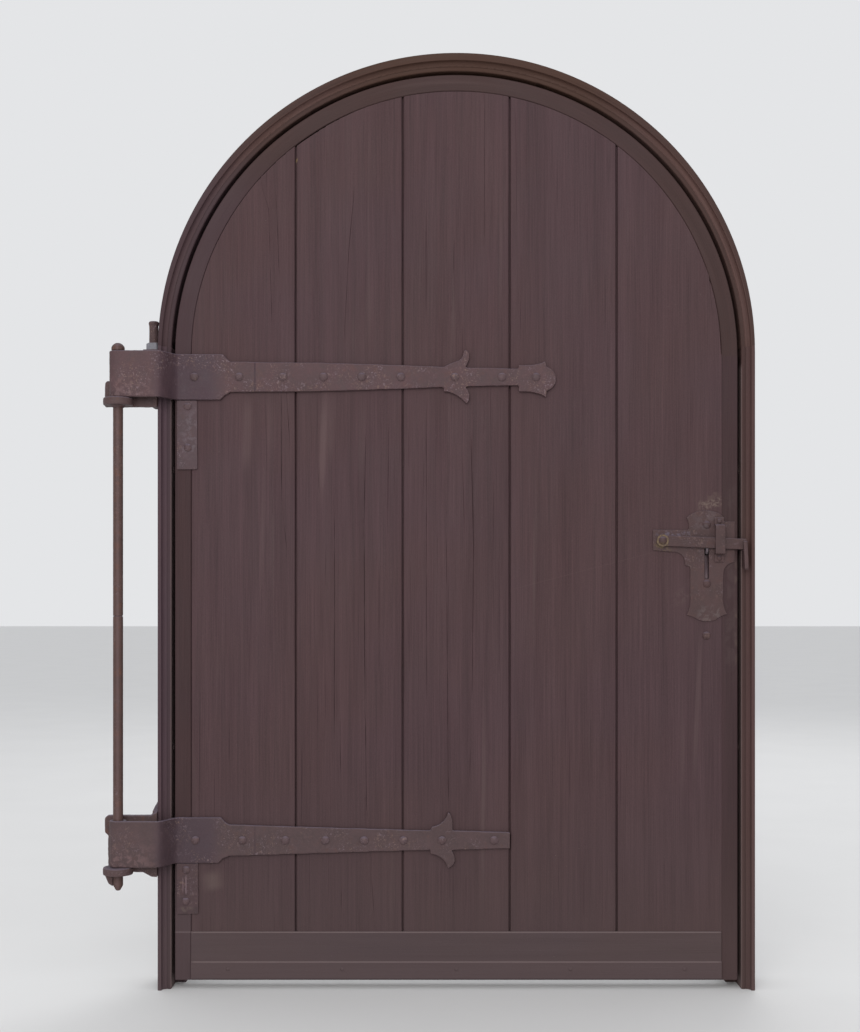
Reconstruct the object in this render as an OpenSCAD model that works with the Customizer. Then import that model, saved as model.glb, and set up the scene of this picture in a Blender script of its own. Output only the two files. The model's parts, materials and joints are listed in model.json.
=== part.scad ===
// Round-arched ledged door in its timber frame, hung on two strap hinges and long rods.
// Units mm, +Z up, the front faces -Y. The origin is the middle of the doorway at floor
// level, in the plane of the leaf's front face.

/* [Doorway] */
// leaf width from edge to edge; the arch is a half circle on it
leaf_w = 1210; // [1010:10:1450]
// height of the arch's spring line above the floor
spring_h = 1361; // [1260:1:1640]
// gap under the leaf
floor_gap = 20; // [8:1:40]
// gap between the leaf and the frame, all round
leaf_gap = 8; // [4:0.5:9]

/* [Frame] */
// width of the frame's face beside the leaf
frame_face = 27; // [24:1:45]
// depth of the frame from the leaf's front to its back
frame_d = 100; // [85:1:140]
// how far the raised outer moulding stands forward
bead_h = 12; // [8:1:18]
// how far the stop reaches behind the leaf
stop_lap = 15; // [10:1:25]
// angle of the right head joint, from the spring line
head_joint_r = 74.6; // [66:0.2:82]
// angle of the left head joint, from the spring line
head_joint_l = 121.6; // [110:0.2:130]
// how much wider the arched head is at its top than at the posts
crown = 8; // [2:0.5:12]
// radius of the dowels in the frame's joints
dowel_r = 7; // [5:0.5:9]

/* [Leaf] */
// thickness of the leaf
leaf_t = 52; // [46:1:64]
// thickness of the planks
plank_t = 26; // [22:1:32]
// width of the three middle planks
plank_w = 230; // [180:1:245]
// width of the open joint between planks at the front
plank_joint = 3.4; // [2:0.2:5]
// width of the stiles and of the arch rim at the front
stile_face = 35; // [28:1:50]
// width of the stiles and of the arch rim behind the planks
stile_back = 90; // [80:1:110]
// height of the bottom rail
rail_h = 104; // [90:1:140]
// height of the drip board
drip_h = 40; // [30:1:60]
// height of each ledge behind the planks
ledge_h = 116; // [100:1:130]

/* [Hinges] */
// height of the lower strap above the floor
strap_low_z = 321; // [290:1:400]
// how far the upper strap sits below the spring line
strap_drop = 46; // [30:1:80]
// thickness of the straps
strap_t = 8; // [6:0.5:10]
// height of the straps at the root
root_h = 98; // [90:1:110]
// distance from the leaf's edge out to the hinge line
axis_out = 113; // [95:1:130]
// distance of the hinge line in front of the leaf
axis_fwd = 41; // [36:1:50]
// radius of the hinge rods
rod_r = 10.5; // [8:0.5:12]
// radius of the straps' rolled eyes
eye_r = 18; // [16:0.5:21]
// thickness of the lugs under the eyes
lug_t = 16; // [12:1:20]
// radius of the lugs
lug_r = 31; // [26:1:36]

/* [Fixings] */
// radius of the strap bolts' heads
head_r = 10; // [8:0.5:12]
// radius of the strap bolts' shanks
shank_r = 4; // [3:0.25:5]
// clearance of bolts, dowels and tenons in their holes
slip = 0.2; // [0.1:0.05:0.4]
// running clearance round a moving pivot, on the radius
run = 0.1; // [0.05:0.01:0.1]

/* [Latch] */
// height of the latch bar's pivot above the floor
latch_z = 964; // [900:1:1010]
// distance of the latch plate's centre from the leaf's edge
latch_in = 67; // [66:1:80]
// length of the latch bar from pivot to tip
bar_l = 180; // [178:1:182]
// height of the latch bar
bar_h = 23; // [18:0.5:25]
// thickness of the latch bar
bar_t = 8; // [6:0.5:8]

/* [Hidden] */
$fn = 48;
arch_fn = 240;
steps = 7;
eps = 0.01;

// leaf and arch
leaf_r = leaf_w / 2;
hx = -leaf_r;
lx = leaf_r;
panel_r = leaf_r - stile_face;
core_r = leaf_r - stile_back;
soft = 1.6;
lap_gap = 1.5;
rail_top = floor_gap + rail_h;
drip_top = floor_gap + drip_h;
plank_bevel = 2.2;
tongue_t = 8;
tongue_l = 7;

// frame section
in_r = leaf_r + leaf_gap;
out_r = in_r + frame_face;
stop_r = leaf_r - stop_lap;
rebate = leaf_t + 2;
flat_w = 10;
cove_r = bead_h - 3;
joint_rise = 20;
post_a = asin(joint_rise / in_r);
scarf_r = in_r + frame_face * 0.38;
scarf_a = 3.4;
fix_z = [520, 1120];
fix_r = 4;

// hinge
ax = hx - axis_out;
ay = -axis_fwd;
strap_up_z = spring_h - strap_drop;
bend_a = hx + 9;
bend_b = hx - 29;
near_y = ay - eye_r + 0.6 + strap_t / 2;
rod_split = (strap_up_z + strap_low_z) / 2 - 15;
rod_tip = 220;
lug_gap = 0.6;
rod_head_r = 14;
arm_t = 14;
arm_y = ay + eye_r + 1.5;
arm_h = 55;
arm_x = ax - 33;
flank = -out_r;
leg_t = 12;
leg_back = 94;
block_w = 40;
block_y0 = 25;
block_h = 131;
stud_r = 10;
stud_x = flank - block_w / 2 + 1;
stud_y = block_y0 + block_w / 2;
nut_w = 29;
nut_h = 15;
nut_low = 36;
stud_len = block_h + nut_h + 52 - nut_low;
leg_bolt_y = 79;
leg_bolt_r = 5;

// positions of the strap bolts, from the leaf's hinge edge
up_bolts = [43, 139, 233, 320, 402, 486, 602, 703, 776];
low_bolts = [45, 146, 238, 324, 407, 491, 574, 686];
// half heights of the straps along them: [from the hinge edge, half height]
up_taper = [[120, 32.5], [312, 30.5], [490, 25], [576, 21.8], [622, 20], [739, 18]];
low_taper = [[118, 33.5], [333, 27], [542, 21], [594, 21], [720, 17]];
horn_u = 605;
plate_t = 4;
up_plate = [44, -198, -50];
low_plate = [46, -159, -50];
up_plate_nails = [[28, -63], [28, -151]];
low_plate_nails = [[25, -64], [24, -132]];
rove_r = 11;
rove_t = 3;

// latch
cx = lx - latch_in;
plate_th = 3;
piv_x = cx - 96;
piv_r = 5;
bar_gap = 0.4;
bar_y1 = -plate_th - bar_gap;
bar_y0 = bar_y1 - bar_t;
bar_droop = 8;
bar_tip_z = latch_z - bar_droop;
slot_w = 10;
slot_lo = latch_z - 82;
slot_hi = latch_z + 4;
keep_x = cx + 26.4;
keep_w = 20.5;
keep_t = 4;
keep_out = bar_t + 5;
keep_lo = latch_z - 25.5;
keep_hi = latch_z + 30;
keep_foot = 20;
keep_rivet_z = [keep_lo - 12, keep_hi + 12];
keep_rivet_r = 6;
keep_shank_r = 2.6;
keep_grip = plate_th + keep_t + plank_t + 3;
plate_rivets = [34, -92];
catch_w = 8;
catch_x = in_r + 1;
catch_lo = latch_z - 62;
catch_hi = latch_z - 1;
notch_z = bar_tip_z - bar_h / 2 - 0.3;
ramp_y = bar_y0 - 17.6;
nose_y1 = bar_y0 - 3.2;
tang_l = 38;
tang_h = 26;
lever_w = 5;
lever_h = 12;
lever_y = leaf_t + 11;
lever_z = latch_z - 22;
lever_reach = lever_y + 9;
back_plate_t = 3;
ear_t = 4;
pin_r = 3;
grip_out = 44;
grip_r = 6.5;
grip_bend = 18;
grip_hi = latch_z - 92.5;
grip_lo = latch_z - 204;
foot_r = 12.5;
foot_t = 5;
ledge_mid_z = latch_z - 14;
// screws from the middle ledge into the planks
screw_at = [for (i = [-2 : 2]) [i * 0.95 * plank_w, ledge_mid_z + (abs(i) > 1 ? 30 : -30)]];
screw_r = 2.3;
screw_head_r = 5.2;
screw_head_h = 2.4;
screw_slot = 1.2;
screw_sink = 3;
screw_bite = 15;

// ---------- helpers ----------

function bez(a, b, c) = [
  for (i = [0 : steps])
    let (t = i / steps)
      a * (1 - t) * (1 - t) + b * 2 * t * (1 - t) + c * t * t
];

// a front-view shape (X, Z) given depth from y0 to y1
module front(y0, y1)
  translate([0, y1, 0])
    rotate([90, 0, 0])
      linear_extrude(y1 - y0)
        children();

// a side-view shape (Y, Z) given width from x0 to x1
module side(x0, x1)
  translate([x0, 0, 0])
    rotate([90, 0, 90])
      linear_extrude(x1 - x0)
        children();

// a plan shape (X, Y) given height from z0 to z1
module plan(z0, z1)
  translate([0, 0, z0])
    linear_extrude(z1 - z0)
      children();

module block(x0, x1, y0, y1, z0, z1)
  translate([x0, y0, z0])
    cube([x1 - x0, y1 - y0, z1 - z0]);

// a round bar along Y
module rod_y(x, z, r, y0, y1)
  translate([x, y1, z])
    rotate([90, 0, 0])
      cylinder(r = r, h = y1 - y0);

// a section (distance from the arch's centre, Y) swept round the arch
module arch(a0, a1)
  translate([0, 0, spring_h])
    rotate([90, 0, 0])
      rotate([0, 0, a0])
        rotate_extrude(angle = a1 - a0, $fn = arch_fn)
          mirror([0, 1])
            children();

// the outline of the arch in front view, from height z0 up
module arch_outline(r, z0) {
  translate([0, spring_h])
    circle(r = r, $fn = arch_fn);
  translate([-r, z0])
    square([2 * r, spring_h - z0]);
}

// half section of a low dome
module cap(r, h) {
  big = (r * r + h * h) / (2 * h);
  intersection() {
    translate([0, h - big])
      circle(r = big);
    square([r, h]);
  }
}

// a domed bolt along Y: its head stands forward of y, its shank runs back
module bolt(x, y, z, hr, hh, sr, grip)
  translate([x, y, z])
    rotate([90, 0, 0])
      rotate_extrude() {
        cap(hr, hh);
        translate([0, -grip])
          square([sr, grip]);
      }

module hex_nut(w, h)
  cylinder(r = w / 2 / cos(30), h = h, $fn = 6);

// ---------- sections ----------

module frame_section(outer = out_r)
  difference() {
    polygon([
      [in_r, rebate], [in_r, soft], [in_r + soft, 0], [in_r + flat_w, 0],
      [in_r + flat_w, -cove_r], [in_r + flat_w + cove_r, -cove_r],
      [in_r + flat_w + cove_r, -bead_h + 1], [in_r + flat_w + cove_r + 1, -bead_h],
      [outer - soft, -bead_h], [outer, -bead_h + soft], [outer, frame_d - soft],
      [outer - soft, frame_d], [stop_r + soft, frame_d], [stop_r, frame_d - soft],
      [stop_r, rebate]
    ]);
    translate([in_r + flat_w, -cove_r])
      circle(r = cove_r);
    translate([in_r + flat_w - 2.4, -1])
      square([1.6, 2.2]);
  }

module stile_section()
  polygon([
    [panel_r, plank_t], [panel_r, soft], [panel_r + soft, 0], [leaf_r - soft, 0],
    [leaf_r, soft], [leaf_r, leaf_t - soft], [leaf_r - soft, leaf_t],
    [core_r + soft, leaf_t], [core_r, leaf_t - soft], [core_r, plank_t]
  ]);

// ---------- holes through the leaf ----------

module strap_holes()
  for (s = [[strap_up_z, up_bolts], [strap_low_z, low_bolts]])
    for (u = s[1])
      rod_y(hx + u, s[0], shank_r + slip, -strap_t - 1, leaf_t + 1);

module plate_nail_holes() {
  for (n = up_plate_nails)
    rod_y(hx + n[0], strap_up_z + n[1], shank_r + slip, -plate_t - 1, leaf_t - 8);
  for (n = low_plate_nails)
    rod_y(hx + n[0], strap_low_z + n[1], shank_r + slip, -plate_t - 1, leaf_t - 8);
}

module latch_holes() {
  rod_y(piv_x, latch_z, piv_r + slip, -plate_th - 1, leaf_t + 1);
  for (z = [grip_hi, grip_lo])
    rod_y(cx, z, shank_r + slip, -plate_th - 1, leaf_t + 1);
  rod_y(cx, latch_z + plate_rivets[0], shank_r + slip, -plate_th - 1, leaf_t + back_plate_t + 1);
  for (z = keep_rivet_z)
    rod_y(keep_x, z, keep_shank_r + slip, -plate_th - 1, keep_grip - plate_th - keep_t + slip);
  block(cx - slot_w / 2, cx + slot_w / 2, -plate_th - 1, leaf_t + back_plate_t + 1,
        slot_lo, slot_hi);
}

module ledge_screw_holes()
  for (p = screw_at) {
    rod_y(p[0], p[1], screw_r + slip, plank_t - screw_bite - 1, leaf_t + 1);
    rod_y(p[0], p[1], screw_head_r + slip, leaf_t - screw_sink, leaf_t + 1);
  }

module leaf_holes() {
  strap_holes();
  plate_nail_holes();
  latch_holes();
}

// ---------- the frame ----------

// the region to the left of a head joint: a radial cut with a slanted inner part
module joint_side(a) {
  far = out_r + 60;
  near = stop_r - 60;
  translate([0, spring_h])
    polygon([
      far * [cos(a), sin(a)], scarf_r * [cos(a), sin(a)],
      stop_r * [cos(a - scarf_a), sin(a - scarf_a)],
      near * [cos(a - scarf_a), sin(a - scarf_a)],
      near * [cos(a + 25), sin(a + 25)], far * 1.1 * [cos(a + 25), sin(a + 25)]
    ]);
}

module frame_sweep(a0, a1)
  arch(a0, a1)
    frame_section();

// the head grows wider towards its top: its outer edge is struck from a higher centre
module head_sweep(a0, a1)
  intersection() {
    arch(a0, a1)
      frame_section(out_r + crown + 8);
    translate([0, 0, crown])
      arch(a0 - 8, a1 + 8)
        polygon([
          [stop_r - 20, -bead_h - 5], [out_r - soft - 5, -bead_h - 5],
          [out_r, -bead_h + soft], [out_r, frame_d - soft],
          [out_r - soft - 5, frame_d + 5], [stop_r - 20, frame_d + 5]
        ]);
  }

// dowels lie along the arch at each frame joint
module frame_dowel_set(extra)
  for (a = [post_a, head_joint_r - scarf_a / 2, head_joint_l - scarf_a / 2, 180 - post_a])
    translate([0, 0, spring_h])
      rotate([0, -a, 0])
        translate([(stop_r + out_r) / 2, (rebate + frame_d) / 2 + 2, 0])
          cylinder(r = dowel_r + extra, h = 76 + extra * 10, center = true);

module frame_fixings()
  for (z = fix_z) {
    translate([stop_r - 1, rebate / 2, z])
      rotate([0, 90, 0])
        cylinder(r = fix_r, h = out_r - stop_r + 2);
    translate([in_r - 1, rebate / 2, z])
      rotate([0, 90, 0])
        cylinder(r = fix_r * 2, h = 5);
  }

module catch_tang(extra)
  block(catch_x + 1 - extra, catch_x + catch_w - 1 + extra, -1, tang_l + extra,
        catch_lo + 6 - extra, catch_lo + 6 + tang_h + extra);

module post() {
  plan(0, spring_h)
    frame_section();
  frame_sweep(0, post_a);
}

module leg_bolt_set(extra) {
  for (z = [strap_up_z - 44, strap_up_z + 8, strap_low_z - 50, strap_low_z + 42])
    translate([flank - leg_t, leg_bolt_y, z])
      rotate([0, -90, 0])
        rotate_extrude() {
          if (extra == 0)
            cap(10, 6);
          translate([0, -leg_t - 38 - extra])
            square([leg_bolt_r + extra, leg_t + 38 + extra * 2]);
        }
}

module frame_post_left()
  color([0.30, 0.26, 0.30])
    difference() {
      mirror([1, 0, 0])
        post();
      mirror([1, 0, 0])
        frame_fixings();
      frame_dowel_set(slip);
      leg_bolt_set(slip);
    }

module frame_post_right()
  color([0.30, 0.23, 0.20])
    difference() {
      post();
      frame_fixings();
      frame_dowel_set(slip);
      catch_tang(slip);
    }

module frame_head_right()
  color([0.30, 0.23, 0.20])
    difference() {
      head_sweep(post_a, head_joint_r + 6);
      front(-bead_h - 5, frame_d + 5)
        joint_side(head_joint_r);
      frame_dowel_set(slip);
    }

module frame_head_middle()
  color([0.30, 0.23, 0.20])
    difference() {
      intersection() {
        head_sweep(head_joint_r - 6, head_joint_l + 6);
        union() {
          front(-bead_h - 5, frame_d + 5)
            joint_side(head_joint_r);
          arch(head_joint_r + 20, head_joint_l + 8)
            translate([stop_r - 20, -bead_h - 6])
              square([out_r - stop_r + 40, frame_d + bead_h + 12]);
        }
      }
      front(-bead_h - 5, frame_d + 5)
        joint_side(head_joint_l);
      frame_dowel_set(slip);
    }

module frame_head_left()
  color([0.30, 0.23, 0.20])
    difference() {
      intersection() {
        head_sweep(head_joint_l - 6, 180 - post_a);
        union() {
          front(-bead_h - 5, frame_d + 5)
            joint_side(head_joint_l);
          arch(head_joint_l + 20, 182)
            translate([stop_r - 20, -bead_h - 6])
              square([out_r - stop_r + 40, frame_d + bead_h + 12]);
        }
      }
      frame_dowel_set(slip);
    }

module frame_dowels()
  color([0.50, 0.38, 0.26])
    frame_dowel_set(0);

// ---------- hinge brackets and rods ----------

module lug_at(zc)
  translate([ax, ay, zc - root_h / 2 - lug_gap - lug_t]) {
    cylinder(r = lug_r, h = lug_t - 2);
    translate([0, 0, lug_t - 2])
      cylinder(r1 = lug_r, r2 = lug_r - 2, h = 2);
  }

module rod_hole()
  translate([ax, ay, 0])
    cylinder(r = rod_r + slip / 2, h = spring_h + leaf_r);

module upper_bracket() {
  zb = strap_up_z - root_h / 2 - lug_gap - lug_t;
  color([0.36, 0.30, 0.29])
    difference() {
      union() {
        lug_at(strap_up_z);
        translate([ax, ay, zb - 5])
          cylinder(r1 = rod_r + 2, r2 = rod_r + 5, h = 5 + eps);
        front(arm_y, arm_y + arm_t)
          polygon([
            [arm_x, zb], [flank, zb], [flank, zb + arm_h], [arm_x + 5, zb + arm_h],
            [arm_x, zb + arm_h - 5]
          ]);
        block(ax - 14, ax + 24, ay, arm_y + 1, zb, zb + lug_t);
        block(flank - leg_t, flank, arm_y + arm_t - 1, block_y0 + 1, zb, zb + arm_h + 25);
        block(flank - block_w, flank, block_y0, block_y0 + block_w, zb + nut_low + nut_h, zb + block_h);
        block(flank - leg_t, flank, block_y0 + block_w - 1, leg_back, zb, zb + block_h);
      }
      rod_hole();
      translate([stud_x, stud_y, zb - 1])
        cylinder(r = stud_r + slip, h = block_h + 2);
      leg_bolt_set(slip);
    }
}

module lower_bracket() {
  zb = strap_low_z - root_h / 2 - lug_gap - lug_t;
  zt = zb + 121;
  color([0.36, 0.30, 0.29])
    difference() {
      union() {
        lug_at(strap_low_z);
        front(arm_y, arm_y + arm_t)
          polygon([
            [arm_x + 7, zb], [flank - 30, zb], [flank - leg_t, zb - 10], [flank, zb - 10],
            [flank, zt + 8], [flank - leg_t, zt], [arm_x + 6, zt], [arm_x, zt - 6],
            [arm_x, zt - 36], [arm_x + 7, zt - 42]
          ]);
        block(ax - 14, ax + 24, ay, arm_y + 1, zb, zb + lug_t);
        front(ay - 5, ay + 5)
          polygon([[ax - 29, zb + 1], [ax - 8, zb + 1], [ax - 8, rod_tip + 8], [ax - 20, zb - 20]]);
        side(flank - leg_t, flank)
          polygon([
            [arm_y + arm_t - 1, zb - 10], [leg_back - 20, zb - 26], [leg_back, zb - 16],
            [leg_back, zt + 14], [leg_back - 20, zt + 26], [arm_y + arm_t - 1, zt + 8]
          ]);
      }
      rod_hole();
      leg_bolt_set(slip);
    }
}

module bracket_bolts()
  color([0.33, 0.28, 0.28])
    leg_bolt_set(0);

module upper_hinge_rod() {
  zt = strap_up_z + root_h / 2 + 1;
  color([0.38, 0.31, 0.29])
    translate([ax, ay, 0])
      union() {
        translate([0, 0, rod_split])
          cylinder(r = rod_r, h = zt - rod_split + eps);
        translate([0, 0, zt])
          rotate_extrude() {
            square([rod_head_r, 7 + eps]);
            translate([0, 7])
              cap(rod_head_r, 10);
          }
      }
}

module lower_hinge_rod()
  color([0.38, 0.31, 0.29])
    translate([ax, ay, 0])
      rotate_extrude()
        polygon([
          [0, rod_tip], [rod_r * 0.45, rod_tip + 1.5], [rod_r, rod_tip + 12],
          [rod_r, rod_split], [0, rod_split]
        ]);

module bracket_stud() {
  zb = strap_up_z - root_h / 2 - lug_gap - lug_t;
  color([0.36, 0.29, 0.29])
    translate([stud_x, stud_y, zb + nut_low - 3])
      rotate_extrude()
        polygon([
          [0, 0], [stud_r - 2, 0], [stud_r, 2], [stud_r, stud_len - 11],
          [stud_r + 1.6, stud_len - 5], [stud_r, stud_len - 1], [0, stud_len]
        ]);
}

module stud_nuts() {
  zb = strap_up_z - root_h / 2 - lug_gap - lug_t;
  color([0.50, 0.53, 0.58])
    for (z = [zb + nut_low, zb + block_h])
      translate([stud_x, stud_y, z])
        difference() {
          hex_nut(nut_w, nut_h);
          translate([0, 0, -1])
            cylinder(r = stud_r + slip / 2, h = nut_h + 2);
        }
}

module latch_catch()
  color([0.40, 0.34, 0.33])
    union() {
      side(catch_x, catch_x + catch_w)
        polygon(concat(
          [[0, catch_lo + 6], [ramp_y + 3, catch_lo - 1]],
          bez([ramp_y, catch_lo + 2], [ramp_y + 3, catch_hi - 26], [nose_y1 - 3, catch_hi - 0.5]),
          [
            [nose_y1 - 1.5, catch_hi], [nose_y1, catch_hi - 1],
            [nose_y1, notch_z], [0, notch_z]
          ]
        ));
      catch_tang(0);
    }

// ---------- the leaf ----------

module plank(i) {
  edge = [-panel_r + lap_gap, -1.5 * plank_w, -0.5 * plank_w, 0.5 * plank_w, 1.5 * plank_w,
          panel_r - lap_gap];
  xa = edge[i] + (i > 0 ? plank_joint / 2 : 0);
  xb = edge[i + 1] - (i < 4 ? plank_joint / 2 : 0);
  mid = plank_t / 2;
  difference() {
    intersection() {
      plan(rail_top, spring_h + panel_r)
        difference() {
          union() {
            polygon([
              [xa, plank_t], [xa, plank_bevel], [xa + plank_bevel, 0], [xb - plank_bevel, 0],
              [xb, plank_bevel], [xb, plank_t]
            ]);
            if (i < 4)
              translate([xb - 1, mid - tongue_t / 2])
                square([plank_joint + tongue_l + 1, tongue_t]);
          }
          if (i > 0)
            translate([xa - 1, mid - tongue_t / 2 - slip])
              square([tongue_l + 2, tongue_t + 2 * slip]);
        }
      front(-1, plank_t + 1)
        arch_outline(panel_r - lap_gap, rail_top);
    }
    leaf_holes();
    ledge_screw_holes();
  }
}

module plank_1()
  color([0.33, 0.27, 0.28])
    plank(0);

module plank_2()
  color([0.33, 0.27, 0.28])
    plank(1);

module plank_3()
  color([0.33, 0.27, 0.28])
    plank(2);

module plank_4()
  color([0.33, 0.27, 0.28])
    plank(3);

module plank_5()
  color([0.33, 0.27, 0.28])
    plank(4);

module rim_dowel_set(extra)
  for (a = [0, 60, 120, 180])
    translate([0, 0, spring_h])
      rotate([0, -a, 0])
        translate([leaf_r - stile_face / 2, plank_t + 10, 0])
          cylinder(r = dowel_r + extra, h = 70 + extra * 10, center = true);

module stile()
  difference() {
    plan(floor_gap, spring_h)
      stile_section();
    rim_dowel_set(slip);
  }

module stile_left()
  color([0.33, 0.27, 0.28])
    difference() {
      mirror([1, 0, 0])
        stile();
      leaf_holes();
    }

module stile_right()
  color([0.33, 0.27, 0.28])
    difference() {
      stile();
      leaf_holes();
    }

module rim(a)
  color([0.33, 0.27, 0.28])
    difference() {
      arch(a, a + 60)
        stile_section();
      rim_dowel_set(slip);
    }

module rim_right()
  rim(0);

module rim_middle()
  rim(60);

module rim_left()
  rim(120);

module rim_dowels()
  color([0.50, 0.38, 0.26])
    rim_dowel_set(0);

drip_y = 8;
drip_xs = [-0.86, -0.43, 0, 0.43, 0.86];

module drip_nail_holes(extra)
  for (s = drip_xs)
    rod_y(s * panel_r, floor_gap + drip_h * 0.6, 2.5 + extra, -10, leaf_t - 14);

module bottom_rail()
  color([0.33, 0.27, 0.28])
    difference() {
      union() {
        side(-panel_r + lap_gap, panel_r - lap_gap)
          polygon([
            [drip_y, floor_gap], [plank_t, floor_gap], [plank_t, rail_top],
            [-2 + soft, rail_top], [-2, rail_top - soft], [-2, drip_top], [drip_y, drip_top]
          ]);
        block(-core_r, core_r, plank_t - 1, leaf_t, floor_gap, rail_top + 6);
      }
      block(-panel_r, panel_r, -3, plank_t, rail_top, rail_top + 20);
      drip_nail_holes(slip);
    }

module drip_board()
  color([0.33, 0.27, 0.28])
    difference() {
      side(-panel_r + lap_gap, panel_r - lap_gap)
        polygon([
          [drip_y, floor_gap], [drip_y, drip_top], [-2, drip_top], [-5, drip_top - 2.5],
          [-5, floor_gap + 4], [-1, floor_gap]
        ]);
      drip_nail_holes(slip);
    }

module drip_nails()
  color([0.30, 0.25, 0.25])
    for (s = drip_xs)
      bolt(s * panel_r, -5, floor_gap + drip_h * 0.6, 4.5, 1.6, 2.5, 38);

module ledge(zc)
  color([0.34, 0.27, 0.27])
    difference() {
      intersection() {
        front(plank_t, leaf_t)
          arch_outline(core_r - slip, floor_gap);
        block(-core_r, core_r, plank_t - 1, leaf_t + 1, zc - ledge_h / 2, zc + ledge_h / 2);
      }
      leaf_holes();
      ledge_screw_holes();
    }

module ledge_upper()
  ledge(strap_up_z);

module ledge_middle()
  ledge(ledge_mid_z);

module ledge_lower()
  ledge(strap_low_z);

module ledge_screws()
  color([0.42, 0.37, 0.34])
    for (p = screw_at)
      translate([p[0], leaf_t - screw_sink, p[1]])
        rotate([-90, 0, 0])
          difference() {
            union() {
              translate([0, 0, plank_t - leaf_t + screw_sink - screw_bite])
                cylinder(r = screw_r, h = leaf_t - plank_t - screw_sink + screw_bite);
              cylinder(r = screw_head_r, h = screw_head_h);
            }
            translate([-screw_head_r - 1, -screw_slot / 2, screw_head_h - 0.8])
              cube([screw_head_r * 2 + 2, screw_slot, 1]);
          }

// ---------- strap hinges ----------

// centre line of the strap's cranked part, t from the leaf out to the eye
function crank(t) = [
  bend_a + (bend_b - bend_a) * t,
  -strap_t / 2 + (near_y + strap_t / 2) * (1 - cos(180 * t)) / 2
];
crank_n = 14;
function crank_dir(t) =
  let (
    d = crank(min(t + 0.02, 1)) - crank(max(t - 0.02, 0))
  ) d / norm(d);
function crank_side(s) = [
  for (i = [0 : crank_n])
    let (t = i / crank_n, d = crank_dir(t))
      crank(t) + s * strap_t / 2 * [d[1], -d[0]]
];

// the strap's bar seen from above: flat on the leaf, cranked out to the eye
module strap_plan(reach)
  polygon(concat(
    [[hx + reach, -strap_t]],
    crank_side(-1),
    [[ax, near_y - strap_t / 2], [ax, near_y + strap_t / 2]],
    [for (i = [crank_n : -1 : 0]) crank_side(1)[i]],
    [[hx + reach, 0]]
  ));

// the strap's bar seen from the front, from the hinge edge along
module strap_body(taper, sh)
  polygon(concat(
    [[-axis_out - 5, root_h / 2], [sh, root_h / 2], [sh + 9, root_h / 2 - 11]],
    taper,
    [for (i = [len(taper) - 1 : -1 : 0]) [taper[i][0], -taper[i][1]]],
    [[sh + 4, -root_h / 2 + 10], [sh - 6, -root_h / 2], [-axis_out - 5, -root_h / 2]]
  ));

// forged leaves and the round end of the upper strap
module upper_leaves() {
  front(-strap_t, 0)
    polygon(concat(
      bez([-27, 21], [-8, 32], [5, 35]),
      bez([5, 35], [14.5, 41], [15.5, 53]),
      bez([15.5, 53], [19, 60.5], [25, 54.5]),
      bez([25, 54.5], [34, 40], [17, 18]),
      [[17, 10], [-27, 10]]
    ));
  front(-strap_t, 0)
    polygon(concat(
      [[-27, -10], [-27, -31]],
      bez([-27, -31], [0, -32], [22, -58]),
      bez([22, -58], [37, -40], [17, -19]),
      [[17, -10]]
    ));
  front(-strap_t, 0)
    polygon(concat(
      [[134, -31], [134, 25]],
      bez([137, 25], [175, 24], [191, 34]),
      [[194, 18], [194, -26]],
      bez([193, -44], [178, -31], [137, -31])
    ));
  rod_y(188, -4, 26, -strap_t, 0);
}

module lower_leaves() {
  front(-strap_t, 0)
    polygon(concat(
      [[-56, 18], [-54.5, 24]],
      bez([-51, 29], [-25, 33], [-18, 59]),
      bez([-16.5, 59.6], [-7, 54], [-8, 18]),
      [[-8, 8], [-56, 8]]
    ));
  front(-strap_t, 0)
    polygon(concat(
      [[-12, -8], [-56, -8]],
      bez([-55, -29], [-25, -34], [-19, -58]),
      bez([-17, -60], [8, -48], [-12, -19])
    ));
}

module strap(zc, taper, sh, bolts)
  color([0.40, 0.33, 0.34])
    difference() {
      union() {
        intersection() {
          plan(zc - 70, zc + 70)
            strap_plan(taper[len(taper) - 1][0] + 5);
          translate([hx, 0, zc])
            front(-axis_fwd - eye_r - 10, 5)
              strap_body(taper, sh);
        }
        translate([ax, ay, zc - root_h / 2])
          cylinder(r = eye_r, h = root_h);
        translate([hx + horn_u, 0, zc])
          children();
      }
      translate([ax, ay, zc - root_h])
        cylinder(r = rod_r + run, h = root_h * 2);
      for (u = bolts)
        rod_y(hx + u, zc, shank_r + slip, -strap_t - 1, 1);
    }

module strap_upper()
  strap(strap_up_z, up_taper, 104, up_bolts)
    upper_leaves();

module strap_lower()
  strap(strap_low_z, low_taper, 100, low_bolts)
    lower_leaves();

module strap_bolt_row(zc, bolts)
  color([0.42, 0.35, 0.36])
    for (u = bolts)
      bolt(hx + u, -strap_t, zc, head_r, 5.5, shank_r, strap_t + leaf_t + rove_t + 1.5);

module strap_bolts_upper()
  strap_bolt_row(strap_up_z, up_bolts);

module strap_bolts_lower()
  strap_bolt_row(strap_low_z, low_bolts);

module strap_roves()
  color([0.38, 0.32, 0.32])
    for (s = [[strap_up_z, up_bolts], [strap_low_z, low_bolts]])
      for (u = s[1])
        difference() {
          rod_y(hx + u, s[0], rove_r, leaf_t, leaf_t + rove_t);
          rod_y(hx + u, s[0], shank_r + slip / 2, leaf_t - 1, leaf_t + rove_t + 1);
        }

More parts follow.
